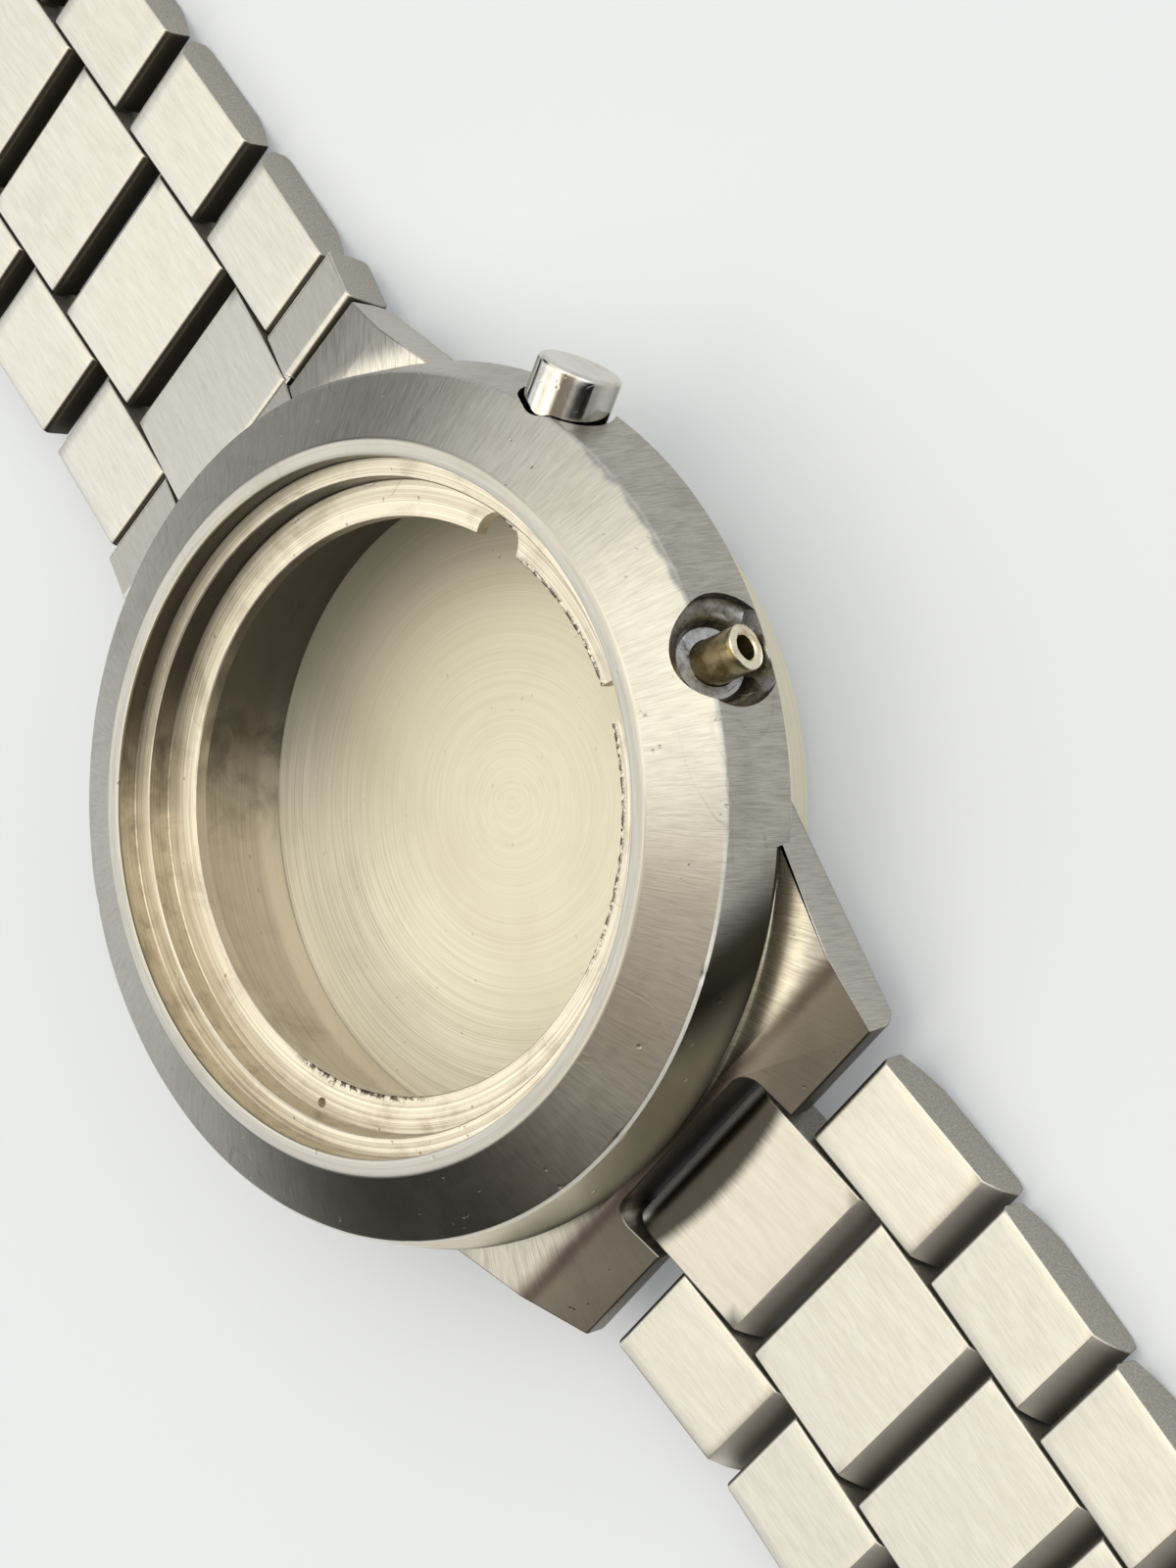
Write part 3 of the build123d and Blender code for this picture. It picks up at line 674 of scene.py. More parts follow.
@dataclass(frozen=True)
class RubberFinish:
    """Black sealing rubber with a fine grain."""

    name: str
    tint: Colour = (0.018, 0.018, 0.018)
    bloom: Colour = (0.05, 0.05, 0.048)
    roughness: float = 0.7
    grain_size: float = 0.2
    relief: float = 0.01

    def build(self) -> bpy.types.Material:
        """Make the material."""
        material, nodes, shader = new_material(self.name)
        grain = Surface(nodes).marks(Grain.SANDED, self.grain_size, 1.0)
        feed(nodes, shader, Base_Color=nodes.mix(grain, self.tint, self.bloom), Roughness=self.roughness,
             Normal=nodes.bump(grain * self.relief))
        return material


STEEL_SHADE = (0.215, 0.20, 0.165)


def wire_finish(name: str) -> SteelFinish:
    """Finish of drawn spring wire."""
    return SteelFinish(name, (0.39, 0.38, 0.355), STEEL_SHADE, Grain.SANDED, roughness=0.3, spacing=0.2)


@contextmanager
def edited(mesh: bpy.types.Mesh) -> Iterator[bmesh.types.BMesh]:
    """Open a mesh for editing and write it back."""
    shell = bmesh.new()
    shell.from_mesh(mesh)
    yield shell
    shell.to_mesh(mesh)
    shell.free()


def mark_creases(mesh: bpy.types.Mesh, degrees: float) -> None:
    """Smooth a mesh but keep its edges sharp where faces meet at more than an angle."""
    limit = math.radians(degrees)
    with edited(mesh) as shell:
        for face in shell.faces:
            face.smooth = True
        for edge in shell.edges:
            edge.smooth = len(edge.link_faces) == 2 and edge.calc_face_angle(0.0) < limit


def even_shading(mesh: bpy.types.Mesh, degrees: float) -> bpy.types.Mesh:
    """Mesh whose large flat faces shade flat right up to their rounded edges."""
    mark_creases(mesh, degrees)
    item = hidden_object("shading", mesh)
    weigh = item.modifiers.new("weigh", "WEIGHTED_NORMAL")
    weigh.weight = 100
    weigh.keep_sharp = True
    return evaluated(item)


def hidden_object(name: str, mesh: bpy.types.Mesh) -> bpy.types.Object:
    """Working object in the scene."""
    item = bpy.data.objects.new(name, mesh)
    bpy.context.scene.collection.objects.link(item)
    return item


def evaluated(item: bpy.types.Object) -> bpy.types.Mesh:
    """Plain mesh of an object with its modifiers applied; the object itself is removed."""
    graph = bpy.context.evaluated_depsgraph_get()
    mesh = bpy.data.meshes.new_from_object(item.evaluated_get(graph))
    bpy.data.objects.remove(item)
    return mesh


def dress(mesh: bpy.types.Mesh, finishes: Sequence[bpy.types.Material]) -> None:
    """Give a mesh its materials and keep the material number of each face."""
    numbers = [0] * len(mesh.polygons)
    mesh.polygons.foreach_get("material_index", numbers)
    mesh.materials.clear()
    for finish in finishes:
        mesh.materials.append(finish)
    mesh.polygons.foreach_set("material_index", [min(number, len(finishes) - 1) for number in numbers])


def show(name: str, mesh: bpy.types.Mesh, body: str, nodes: Sequence[str],
         finishes: Sequence[bpy.types.Material]) -> bpy.types.Object:
    """Put a finished piece in the scene.

    Args:
        name: Name of the piece.
        mesh: Its mesh, in place.
        body: Body that it rides on.
        nodes: CAD nodes that it stands for.
        finishes: Materials, in the order of the mesh's material numbers.

    Returns:
        The object.
    """
    mesh.name = name
    dress(mesh, finishes)
    item = hidden_object(name, mesh)
    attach(item, body)
    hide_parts(*nodes)
    log.info("%s: %d faces on %s", name, len(mesh.polygons), body)
    return item


@dataclass(frozen=True)
class Run:
    """Straight stretch of a turned outline, up to its end point."""

    radius: float
    height: float
    zone: int = 0
    pieces: int = 1
    crowding: float = 1.0             # above 1 its points crowd towards its end, below 1 towards its start


Shape = Callable[[float, float, float, int], tuple[float, float]]


def turned(name: str, runs: Sequence[Run], steps: int, shape: Shape | None = None) -> bpy.types.Mesh:
    """Closed solid of revolution about Z.

    Args:
        name: Name of the mesh.
        runs: Closed outline, each run from the end of the one before.
        steps: Faces round the axis.
        shape: Moves a point, given its angle in degrees, radius, height and zone.

    Returns:
        Mesh in metres with each face's zone as its material number.
    """
    points: list[tuple[float, float, int]] = []
    before = runs[-1]
    for run in runs:
        for piece in range(1, run.pieces + 1):
            share = 1 - (1 - piece / run.pieces) ** run.crowding
            points.append((before.radius + (run.radius - before.radius) * share,
                           before.height + (run.height - before.height) * share, run.zone))
        before = run
    mesh = bpy.data.meshes.new(name)
    with edited(mesh) as shell:
        rings = []
        for step in range(steps):
            angle = 360 * step / steps
            turn = math.radians(angle)
            ring = []
            for radius, height, zone in points:
                if shape:
                    radius, height = shape(angle if angle <= 180 else angle - 360, radius, height, zone)
                ring.append(shell.verts.new(
                    (radius * math.cos(turn) * MM, radius * math.sin(turn) * MM, height * MM)))
            rings.append(ring)
        for step in range(steps):
            ring, after = rings[step], rings[(step + 1) % steps]
            for number in range(len(points)):
                face = shell.faces.new((ring[number - 1], after[number - 1], after[number], ring[number]))
                face.material_index = points[number][2]
        bmesh.ops.remove_doubles(shell, verts=shell.verts, dist=1e-8)
        bmesh.ops.recalc_face_normals(shell, faces=shell.faces)
    return mesh


def rod(radius: float, start: float, end: float, zone: int, steps: int = 64) -> bpy.types.Mesh:
    """Closed round bar along Z, for cutting."""
    return turned("rod", [Run(0, start, zone), Run(radius, start, zone), Run(radius, end, zone, 4),
                          Run(0, end, zone)], steps)


def block(low: Point, high: Point, zone: int = 0) -> bpy.types.Mesh:
    """Box between two corners in millimetres, for cutting."""
    mesh = bpy.data.meshes.new("block")
    with edited(mesh) as shell:
        bmesh.ops.create_cube(shell, size=1.0)
        for vert in shell.verts:
            vert.co = Vector([(a + (b - a) * (part + 0.5)) * MM for a, b, part in zip(low, high, vert.co)])
        for face in shell.faces:
            face.material_index = zone
    return mesh


def carved(mesh: bpy.types.Mesh, cutters: Sequence[bpy.types.Mesh]) -> bpy.types.Mesh:
    """Mesh less its cutters, all with the same list of material numbers."""
    numbering = [bpy.data.materials.new(f"number_{number}") for number in range(len(HeadZone))]
    for item in (mesh, *cutters):
        dress(item, numbering)
    body = hidden_object("carved", mesh)
    tools = [hidden_object(f"cutter_{number}", cutter) for number, cutter in enumerate(cutters)]
    for tool in tools:
        cut = body.modifiers.new(tool.name, "BOOLEAN")
        cut.operation = "DIFFERENCE"
        cut.solver = "MANIFOLD"
        cut.object = tool
    result = evaluated(body)
    for tool in tools:
        bpy.data.objects.remove(tool)
    return result


def merged_copy(node: str) -> bpy.types.Mesh:
    """Copy of a CAD node's mesh with its doubled points joined and its flat faces whole."""
    mesh = frame["nodes"][node].data.copy()
    with edited(mesh) as shell:
        bmesh.ops.remove_doubles(shell, verts=shell.verts, dist=1e-7)
        bmesh.ops.dissolve_limit(shell, angle_limit=math.radians(0.3), verts=shell.verts, edges=shell.edges)
    return mesh


def cad_copy(node: str, width: float) -> bpy.types.Mesh:
    """Copy of a CAD node's mesh with its flat faces whole and its edges rounded.

    Args:
        node: CAD node.
        width: Width of the rounding in millimetres.

    Returns:
        New mesh.
    """
    corner = 25.0                 # least angle of an edge that is rounded, in degrees
    item = hidden_object(f"{node}_copy", merged_copy(node))
    bevel = item.modifiers.new("edges", "BEVEL")
    bevel.width = width * MM
    bevel.segments = 3
    bevel.limit_method = "ANGLE"
    bevel.angle_limit = math.radians(corner)
    bevel.use_clamp_overlap = False
    bevel.miter_outer = "MITER_ARC"
    return evaluated(item)


class HeadZone(IntEnum):
    """Zones of the head that are finished apart, numbered as their materials."""

    BEZEL = 0
    EDGE = 1
    LEDGE = 2
    WALL = 3
    BAND = 4
    RECESS = 5
    CAVITY = 6
    GROOVE = 7


@dataclass(frozen=True)
class Bite:
    """Place on the bezel's outer edge where metal has been knocked off."""

    azimuth: float
    half_width: float
    depth: float


@dataclass(frozen=True)
class Bore:
    """Round hole on one of the head's lines, between two distances from the axis."""

    line: Station
    radius: float
    start: float
    end: float
    zone: HeadZone
    steps: int = 64

    def cutter(self) -> bpy.types.Mesh:
        """Bar that cuts the hole."""
        return self.line.lay(rod(self.radius, self.start, self.end, self.zone, self.steps))


@dataclass
class Head:
    """Round head: bezel, band, crystal ledge, dial flange, neck, crown recess and button socket."""

    edge_radius: float = 20.50
    edge_height: float = 10.20
    lip_radius: float = 17.21
    lip_height: float = 11.94
    foot_radius: float = 21.23
    foot_height: float = FOOT_HEIGHT
    shoulder_radius: float = 20.49
    notch_height: float = 7.25
    notch_half_width: float = 14.70
    plate_height: float = 6.36
    neck_radius: float = 16.97
    neck_foot: float = 1.18
    seat_radius: float = 16.45
    ledge_height: float = 10.78
    wall_radius: float = 15.50
    wall_foot: float = 9.43
    flange_radius: float = FLANGE_RADIUS
    flange_height: float = 9.31
    flange_floor: float = 8.60
    movement_radius: float = 16.00
    recess_foot: float = 6.62
    bores: tuple[Bore, ...] = (
        Bore(CROWN, 1.15, 18.60, 22.05, HeadZone.GROOVE), Bore(CROWN, 0.86, 15.50, 18.70, HeadZone.CAVITY),
        Bore(BUTTON, 2.30, 19.20, 23.75, HeadZone.GROOVE, 96), Bore(BUTTON, 0.91, 14.00, 19.30, HeadZone.CAVITY))
    stem_notch_half_width: float = 0.90
    stem_notch_reach: float = 14.60
    button_notch_radius: float = 1.35
    button_notch_reach: float = 13.85
    small_hole: Station = Station(-151.5, 0.0)
    small_hole_radius: float = 0.25
    small_hole_reach: float = 15.10
    chewed_azimuth: float = -30.0         # middle of the flange's chewed inner edge
    chewed_half_width: float = 46.0
    chewed_depth: float = 0.20
    least_wear: float = 0.018             # of the bezel's outer edge
    uneven_wear: float = 0.03
    wear_way: tuple[float, float] = (0.83, 0.55)      # inwards and down
    wave: float = 0.012                   # of the turned faces, from years of polishing
    ripple: float = 0.004
    ledge_wave: float = 0.008
    steps: int = 540
    bites: tuple[Bite, ...] = (
        Bite(8.5, 2.4, 0.16), Bite(5.0, 1.4, 0.22), Bite(-1.5, 4.0, 0.14), Bite(-7.0, 2.2, 0.24),
        Bite(-11.5, 2.0, 0.16), Bite(-63.0, 0.9, 0.14), Bite(-88.0, 0.8, 0.10), Bite(152.0, 1.0, 0.12),
        Bite(-128.0, 0.9, 0.09), Bite(61.0, 0.7, 0.07), Bite(-45.0, 0.6, 0.08))

    def outline(self) -> list[Run]:
        """Outline from the neck's foot up the outside and down the inside."""
        zone = HeadZone
        soft = 0.07
        slope = math.atan2(self.lip_height - self.edge_height, self.edge_radius - self.lip_radius)
        cone = (math.cos(slope), math.sin(slope))
        return [
            Run(self.neck_radius, self.plate_height, zone.CAVITY),
            Run(self.shoulder_radius, self.plate_height, zone.GROOVE),
            Run(self.shoulder_radius, self.plate_height + 0.14, zone.GROOVE),
            # the underside of the band's foot takes the pale ledge finish, painted light that lifts the shade on the
            # horn tops below it
            Run(self.foot_radius - 0.10, self.foot_height, zone.LEDGE),
            Run(self.foot_radius, self.foot_height + 0.10, zone.BAND, 2),
            Run(self.edge_radius + 0.02, self.edge_height - 0.10, zone.BAND, 14, 1.7),
            Run(self.edge_radius - 0.015, self.edge_height - 0.025, zone.BEZEL),
            Run(self.edge_radius - 0.09, self.edge_height + 0.05, zone.BEZEL),
            Run(self.lip_radius + soft * cone[0] + 0.05, self.lip_height - soft * cone[1] - 0.03, zone.BEZEL, 26, 0.6),
            Run(self.lip_radius + 0.02, self.lip_height - 0.012, zone.EDGE),
            Run(self.lip_radius - 0.06, self.lip_height, zone.EDGE),
            Run(self.seat_radius + 0.12, self.lip_height, zone.EDGE, 3),
            Run(self.seat_radius + 0.03, self.lip_height - 0.03, zone.EDGE),
            Run(self.seat_radius, self.lip_height - 0.12, zone.EDGE),
            Run(self.seat_radius, self.ledge_height + 0.05, zone.WALL, 3),
            Run(self.seat_radius - 0.05, self.ledge_height, zone.WALL),
            Run(self.wall_radius + 0.06, self.ledge_height, zone.LEDGE, 5),
            Run(self.wall_radius, self.ledge_height - 0.06, zone.LEDGE),
            Run(self.wall_radius, self.wall_foot + 0.06, zone.WALL, 4),
            Run(self.wall_radius - 0.06, self.wall_foot, zone.WALL),
            Run(self.flange_radius + 0.05, self.flange_height, zone.LEDGE, 12),
            Run(self.flange_radius, self.flange_height - 0.05, zone.LEDGE),
            Run(self.flange_radius, self.flange_floor, zone.CAVITY, 4),
            Run(self.movement_radius, self.flange_floor, zone.CAVITY, 2),
            Run(self.movement_radius, self.neck_foot, zone.CAVITY, 8),
            Run(self.neck_radius, self.neck_foot, zone.CAVITY),
        ]

    def knocked(self, angle: float) -> float:
        """Depth of wear of the bezel's outer edge at an angle."""
        turn = math.radians(angle)
        place = Vector((math.cos(turn) * 9, math.sin(turn) * 9, 0.3))
        depth = self.least_wear + self.uneven_wear * max(0.0, noise.noise(place) + 0.2)
        for bite in self.bites:
            off = (angle - bite.azimuth + 180) % 360 - 180
            if abs(off) < bite.half_width:
                ragged = 0.75 + 0.5 * noise.noise(place * 6)
                depth = max(depth, bite.depth * ragged * (1 - (off / bite.half_width) ** 4))
        return depth

    def notched(self, angle: float, radius: float, height: float) -> tuple[float, float]:
        """Point of the outside with the band shortened over both pairs of horns."""
        over_horns = abs(self.foot_radius * math.cos(math.radians(angle))) < self.notch_half_width
        if not over_horns or radius < self.shoulder_radius or not self.plate_height < height < self.edge_height:
            return radius, height
        span = self.edge_height - self.foot_height
        lift = (self.notch_height - self.foot_height) * min(1.0, (self.edge_height - height) / span)
        inward = lift * (self.foot_radius - self.edge_radius) / span if radius > self.shoulder_radius + 0.01 else 0.0
        return radius - inward, height + lift

    def wear_and_reflection(self, angle: float, radius: float, height: float, zone: int) -> tuple[float, float]:
        """Shape of the turned head after years of wear."""
        radius, height = self.notched(angle, radius, height)
        turn = math.radians(angle)
        place = Vector((radius * math.cos(turn), radius * math.sin(turn), height))
        if zone in (HeadZone.BAND, HeadZone.EDGE, HeadZone.BEZEL) and radius > self.lip_radius + 1.0:
            depth = self.knocked(angle)
            across = math.hypot(radius - self.edge_radius, height - self.edge_height)
            flat = depth * 1.9 + 0.05
            push = depth * max(0.0, 1 - across / flat)
            wave = self.wave * noise.noise(place * 0.35) + self.ripple * noise.noise(place * 1.3)
            inward, down = self.wear_way
            return radius - inward * push + 0.3 * wave, height - down * push + wave
        if zone in (HeadZone.LEDGE, HeadZone.CAVITY) and abs(radius - self.flange_radius) < 0.06:
            chewed = max(0.0, 1 - abs(angle - self.chewed_azimuth) / self.chewed_half_width) ** 0.5
            ragged = noise.noise(place * 2.6) + 0.6 * noise.noise(place * 7.0)
            fine = self.wave * noise.noise(place * 1.7)
            return radius + chewed * max(-0.02, ragged) * self.chewed_depth + fine, height
        if zone in (HeadZone.LEDGE, HeadZone.WALL):
            return radius, height + self.ledge_wave * noise.noise(place * 0.5)
        return radius, height

    def recess_cutter(self) -> bpy.types.Mesh:
        """Bowl-ended cutter of the crown recess, cut off level with the top of the band's foot."""
        zone = HeadZone.RECESS
        mesh = turned("recess", [
            Run(0, 3.7, zone), Run(2.70, 3.7, zone, 2), Run(2.70, -1.15, zone, 6), Run(2.62, -1.25, zone, 2),
            Run(1.95, -1.75, zone, 4), Run(1.70, -2.20, zone, 3), Run(0, -2.20, zone, 5)], 96)
        RECESS.lay(mesh, RECESS_REACH, RECESS_TILT)
        with edited(mesh) as shell:
            cut = bmesh.ops.bisect_plane(
                shell, geom=[*shell.verts, *shell.edges, *shell.faces], plane_co=(0, 0, self.recess_foot * MM),
                plane_no=(0, 0, 1), clear_inner=True)
            rim = [part for part in cut["geom_cut"] if isinstance(part, bmesh.types.BMEdge)]
            lid = bmesh.ops.contextual_create(shell, geom=rim)
            for face in lid["faces"]:
                face.material_index = zone
            bmesh.ops.recalc_face_normals(shell, faces=shell.faces)
        return mesh

    def cutters(self) -> list[bpy.types.Mesh]:
        """Everything that is cut into the turned head."""
        zone = HeadZone
        low, high = self.flange_floor - 0.5, self.wall_foot + 0.6
        half, reach = self.stem_notch_half_width, self.stem_notch_reach
        stem_notch = block((self.flange_radius - 1.0, -half, low), (reach, half, high), zone.CAVITY)
        stem_notch.transform(CROWN.turn())
        button_notch = rod(self.button_notch_radius, low, high, zone.CAVITY, 48)
        button_notch.transform(BUTTON.turn() @ Matrix.Translation((self.button_notch_reach * MM, 0, 0)))
        small_hole = rod(self.small_hole_radius, low, high, zone.CAVITY, 24)
        small_hole.transform(self.small_hole.turn() @ Matrix.Translation((self.small_hole_reach * MM, 0, 0)))
        return [self.recess_cutter(), *(bore.cutter() for bore in self.bores), stem_notch, button_notch, small_hole]

    def finishes(self) -> list[bpy.types.Material]:
        """Materials of the zones, in order."""
        cream, brown = (0.76, 0.71, 0.585), (0.27, 0.22, 0.15)
        made = {
            HeadZone.BEZEL: BezelFinish("bezel_brushed", (0.48, 0.465, 0.42), STEEL_SHADE, Grain.RADIAL,
                                        spacing=0.065, run=7, tone=0.34, roughness=0.36, relief=0.0026,
                                        pit_size=0.45, pit_share=0.33, tarnish=0.10),
            HeadZone.EDGE: SteelFinish("lip_rubbed", (0.44, 0.425, 0.385), (0.27, 0.25, 0.21), Grain.TURNED,
                                       spacing=0.09, run=60, tone=0.35, roughness=0.30, relief=0.0005, tarnish=0.2),
            HeadZone.LEDGE: LedgeFinish("ledges_turned", cream, (0.27, 0.215, 0.15), Grain.TURNED,
                                        spacing=0.075, run=260, tone=0.50, roughness=0.38, tarnish=0.28,
                                        patch=2.2, pit_size=0.35, pit_share=0.36, relief=0.003, metallic=0.85),
            HeadZone.WALL: CavityFinish("wall_stained_and_shaded", (0.70, 0.62, 0.48), brown, Grain.TURNED,
                                        spacing=0.10, run=90, tone=0.35, roughness=0.42, tarnish=0.4, patch=1.1,
                                        metallic=0.9),
            HeadZone.BAND: BandFinish("band_brushed", (0.47, 0.45, 0.405), (0.25, 0.23, 0.19), Grain.RADIAL,
                                      spacing=0.06, run=14, tone=0.5, roughness=0.36, pit_size=0.5,
                                      pit_share=0.33, relief=0.002),
            HeadZone.RECESS: RecessFinish("recess_gunmetal", (0.50, 0.495, 0.50), (0.13, 0.115, 0.10),
                                          Grain.SANDED, spacing=0.25, tone=0.3, roughness=0.28, tarnish=0.6,
                                          patch=0.9),
            HeadZone.CAVITY: CavityFinish("cavity_stained_and_shaded", (0.60, 0.54, 0.43), (0.25, 0.205, 0.145),
                                          Grain.TURNED, spacing=0.12, run=90, tone=0.25, roughness=0.44,
                                          tarnish=0.30, patch=3.0, metallic=0.55),
            # near-black grime and painted shade in the gaps round the head and in its bores
            HeadZone.GROOVE: SteelFinish("groove_grime_and_shade", (0.060, 0.054, 0.044), (0.018, 0.015, 0.012), Grain.TURNED,
                                         spacing=0.12, tone=0.5, roughness=0.5, tarnish=0.8, patch=1.5),
        }
        return [made[zone].build() for zone in HeadZone]

    def build(self) -> None:
        """Make the head."""
        blank = turned("head", self.outline(), self.steps, self.wear_and_reflection)
        mesh = carved(blank, self.cutters())
        mark_creases(mesh, 28)
        show("head_bezel_and_band", mesh, "case", ["case_middle"], self.finishes())


@dataclass
class LugPlate:
    """Lower case body with its four horns."""

    rounding: float = 0.09

    def build(self) -> None:
        """Make the plate."""
        mesh = even_shading(cad_copy("lug_plate", self.rounding), 30)
        finish = HornFinish("horns_brushed", (0.48, 0.46, 0.412), (0.20, 0.18, 0.145), Grain.RADIAL,
                            spacing=0.06, run=18, tone=0.45, roughness=0.34, tarnish=0.2, patch=4.0,
                            pit_size=0.35, pit_share=0.28, scratch=0.0)
        show("horned_plate", mesh, "case", ["lug_plate"], [finish.build()])


def geometry_group(name: str, inputs: dict[str, str]) -> tuple[Nodes, dict[str, Signal]]:
    """Start a geometry tree.

    Args:
        name: Name of the tree.
        inputs: Kind of each input's socket, by the input's name.

    Returns:
        Builder of its nodes, and its inputs by name.
    """
    tree = bpy.data.node_groups.new(name, "GeometryNodeTree")
    tree.interface.new_socket("Geometry", in_out="OUTPUT", socket_type="NodeSocketGeometry")
    for label, kind in inputs.items():
        tree.interface.new_socket(label, in_out="INPUT", socket_type=f"NodeSocket{kind}")
    nodes = Nodes(tree)
    entry = tree.nodes.new("NodeGroupInput")
    return nodes, {socket.name: Signal(nodes, socket) for socket in entry.outputs if socket.name}


def close_group(nodes: Nodes, geometry: Signal, finish: Signal) -> bpy.types.GeometryNodeTree:
    """End a geometry tree in plain geometry with its finish."""
    real = nodes.add("GeometryNodeRealizeInstances", None, {0: geometry})
    dressed = nodes.add("GeometryNodeSetMaterial", None, {"Geometry": real, "Material": finish})
    leave = nodes.tree.nodes.new("NodeGroupOutput")
    nodes.tree.links.new(dressed.socket, leave.inputs[0])
    return nodes.tree


def grown(mesh: bpy.types.Mesh, tree: bpy.types.GeometryNodeTree, values: dict[str, Any]) -> bpy.types.Mesh:
    """Make a plain mesh with a geometry tree.

    Args:
        mesh: Mesh that the tree starts from.
        tree: Geometry tree.
        values: Values of its inputs, by name; each is set by its socket's identifier.

    Returns:
        New mesh.
    """
    item = hidden_object(tree.name, mesh)
    modifier = item.modifiers.new(tree.name, "NODES")
    modifier.node_group = tree
    for socket in tree.interface.items_tree:
        if socket.in_out == "INPUT" and socket.name in values:
            modifier[socket.identifier] = values[socket.name]
    return evaluated(item)


def turned_group() -> bpy.types.GeometryNodeTree:
    """Geometry tree that turns an outline about Z and raises fine uneven rings on one level face."""
    per_metre, unevenness, on_level = 900.0, 9.0, 0.00002
    nodes, given = geometry_group("turned_piece", {
        "Outline": "Geometry", "Steps": "Int", "Carrier radius": "Float", "Ring height": "Float",
        "Ring pitch": "Float", "Level": "Float", "Finish": "Material"})
    outline = nodes.add("GeometryNodeMeshToCurve", None, {0: given["Outline"]})
    circle = nodes.add("GeometryNodeCurvePrimitiveCircle", {"mode": "RADIUS"},
                       {"Resolution": given["Steps"], "Radius": given["Carrier radius"]})
    solid = nodes.add("GeometryNodeCurveToMesh", None, {0: circle, 1: outline})
    x, y, z = nodes.split(nodes.add("GeometryNodeInputPosition"))
    radius = nodes.vector("LENGTH", nodes.join(x, y, 0.0))
    wobble = nodes.noise(nodes.join(radius * per_metre, 0.0, 0.0), 1.0, 3.0, 0.6)
    ring = (radius / given["Ring pitch"] * (2 * math.pi) + wobble * unevenness).sine()
    level = 1.0 - (abs(z - given["Level"]) / on_level).at_most(1.0)
    lift = nodes.join(0.0, 0.0, ring * wobble * given["Ring height"] * level)
    raised = nodes.add("GeometryNodeSetPosition", None, {"Geometry": solid, "Offset": lift})
    return close_group(nodes, raised, given["Finish"])


@dataclass
class CaseBack:
    """Case back: turned floor with concentric rings, rim, sealing groove and key slots."""

    radius: float = 17.90
    floor: float = 1.13
    rim_top: float = 2.18
    rim_inner: float = 17.02
    groove_outer: float = 16.85
    groove_inner: float = 16.05
    groove_floor: float = 0.73
    bevel: float = 0.90
    slots: int = 6
    slot_length: float = 1.20
    slot_half_width: float = 1.10
    slot_depth: float = 0.60
    ring_height: float = 0.0007
    ring_pitch: float = 0.26
    samples: int = 320            # points of the outline from the groove to the axis
    pole_radius: float = 0.004    # last point's distance from the axis, before its doubles are merged
    steps: int = 240

    def outline(self) -> bpy.types.Mesh:
        """Closed outline as a mesh of edges, with the radius measured from the carrier circle."""
        corners = [(self.radius - self.bevel, 0.0), (self.radius, self.bevel), (self.radius, self.rim_top - 0.08),
                   (self.radius - 0.08, self.rim_top), (self.rim_inner, self.rim_top),
                   (self.rim_inner, self.floor), (self.groove_outer, self.floor),
                   (self.groove_outer, self.groove_floor), (self.groove_inner, self.groove_floor),
                   (self.groove_inner, self.floor)]
        inside = [(self.groove_inner * (1 - number / self.samples) + self.pole_radius, self.floor)
                  for number in range(1, self.samples + 1)]
        points = [*corners, *inside, (self.pole_radius, 0.0)]
        mesh = bpy.data.meshes.new("back_outline")
        edges = [(number, (number + 1) % len(points)) for number in range(len(points))]
        mesh.from_pydata([(radius * MM - self.carrier(), -height * MM, 0.0) for radius, height in points], edges, [])
        return mesh

    def carrier(self) -> float:
        """Radius in metres of the circle that carries the outline round."""
        return self.radius * MM

    def build(self) -> None:
        """Make the case back."""
        finish = BackFinish("back_turned", (1.0, 0.965, 0.84), (0.56, 0.51, 0.38), Grain.TURNED, spacing=0.07,
                            run=330, tone=0.60, broad_tone=0.22, scratch=0.03, roughness=0.45, tarnish=0.16, patch=5.0,
                            relief=0.0025, pit_size=0.4, pit_share=0.32, metallic=0.25).build()
        mesh = grown(self.outline(), turned_group(), {
            "Steps": self.steps, "Carrier radius": self.carrier(), "Ring height": self.ring_height * MM,
            "Ring pitch": self.ring_pitch * MM, "Level": self.floor * MM, "Finish": finish})
        with edited(mesh) as shell:
            bmesh.ops.remove_doubles(shell, verts=shell.verts, dist=self.pole_radius * 1.5 * MM)
            bmesh.ops.recalc_face_normals(shell, faces=shell.faces)
        cutters = []
        for number in range(self.slots):
            slot = block((self.radius - self.slot_length, -self.slot_half_width, -1.0),
                         (self.radius + 1.0, self.slot_half_width, self.slot_depth))
            slot.transform(Matrix.Rotation(math.radians(number * 360 / self.slots), 4, "Z"))
            cutters.append(slot)
        mesh = carved(mesh, cutters)
        mark_creases(mesh, 30)
        show("case_back_turned", mesh, "case", ["case_back"], [finish])


class TubeZone(IntEnum):
    """Zones of the crown tube, numbered as its materials."""

    SIDE = 0
    MOUTH = 1


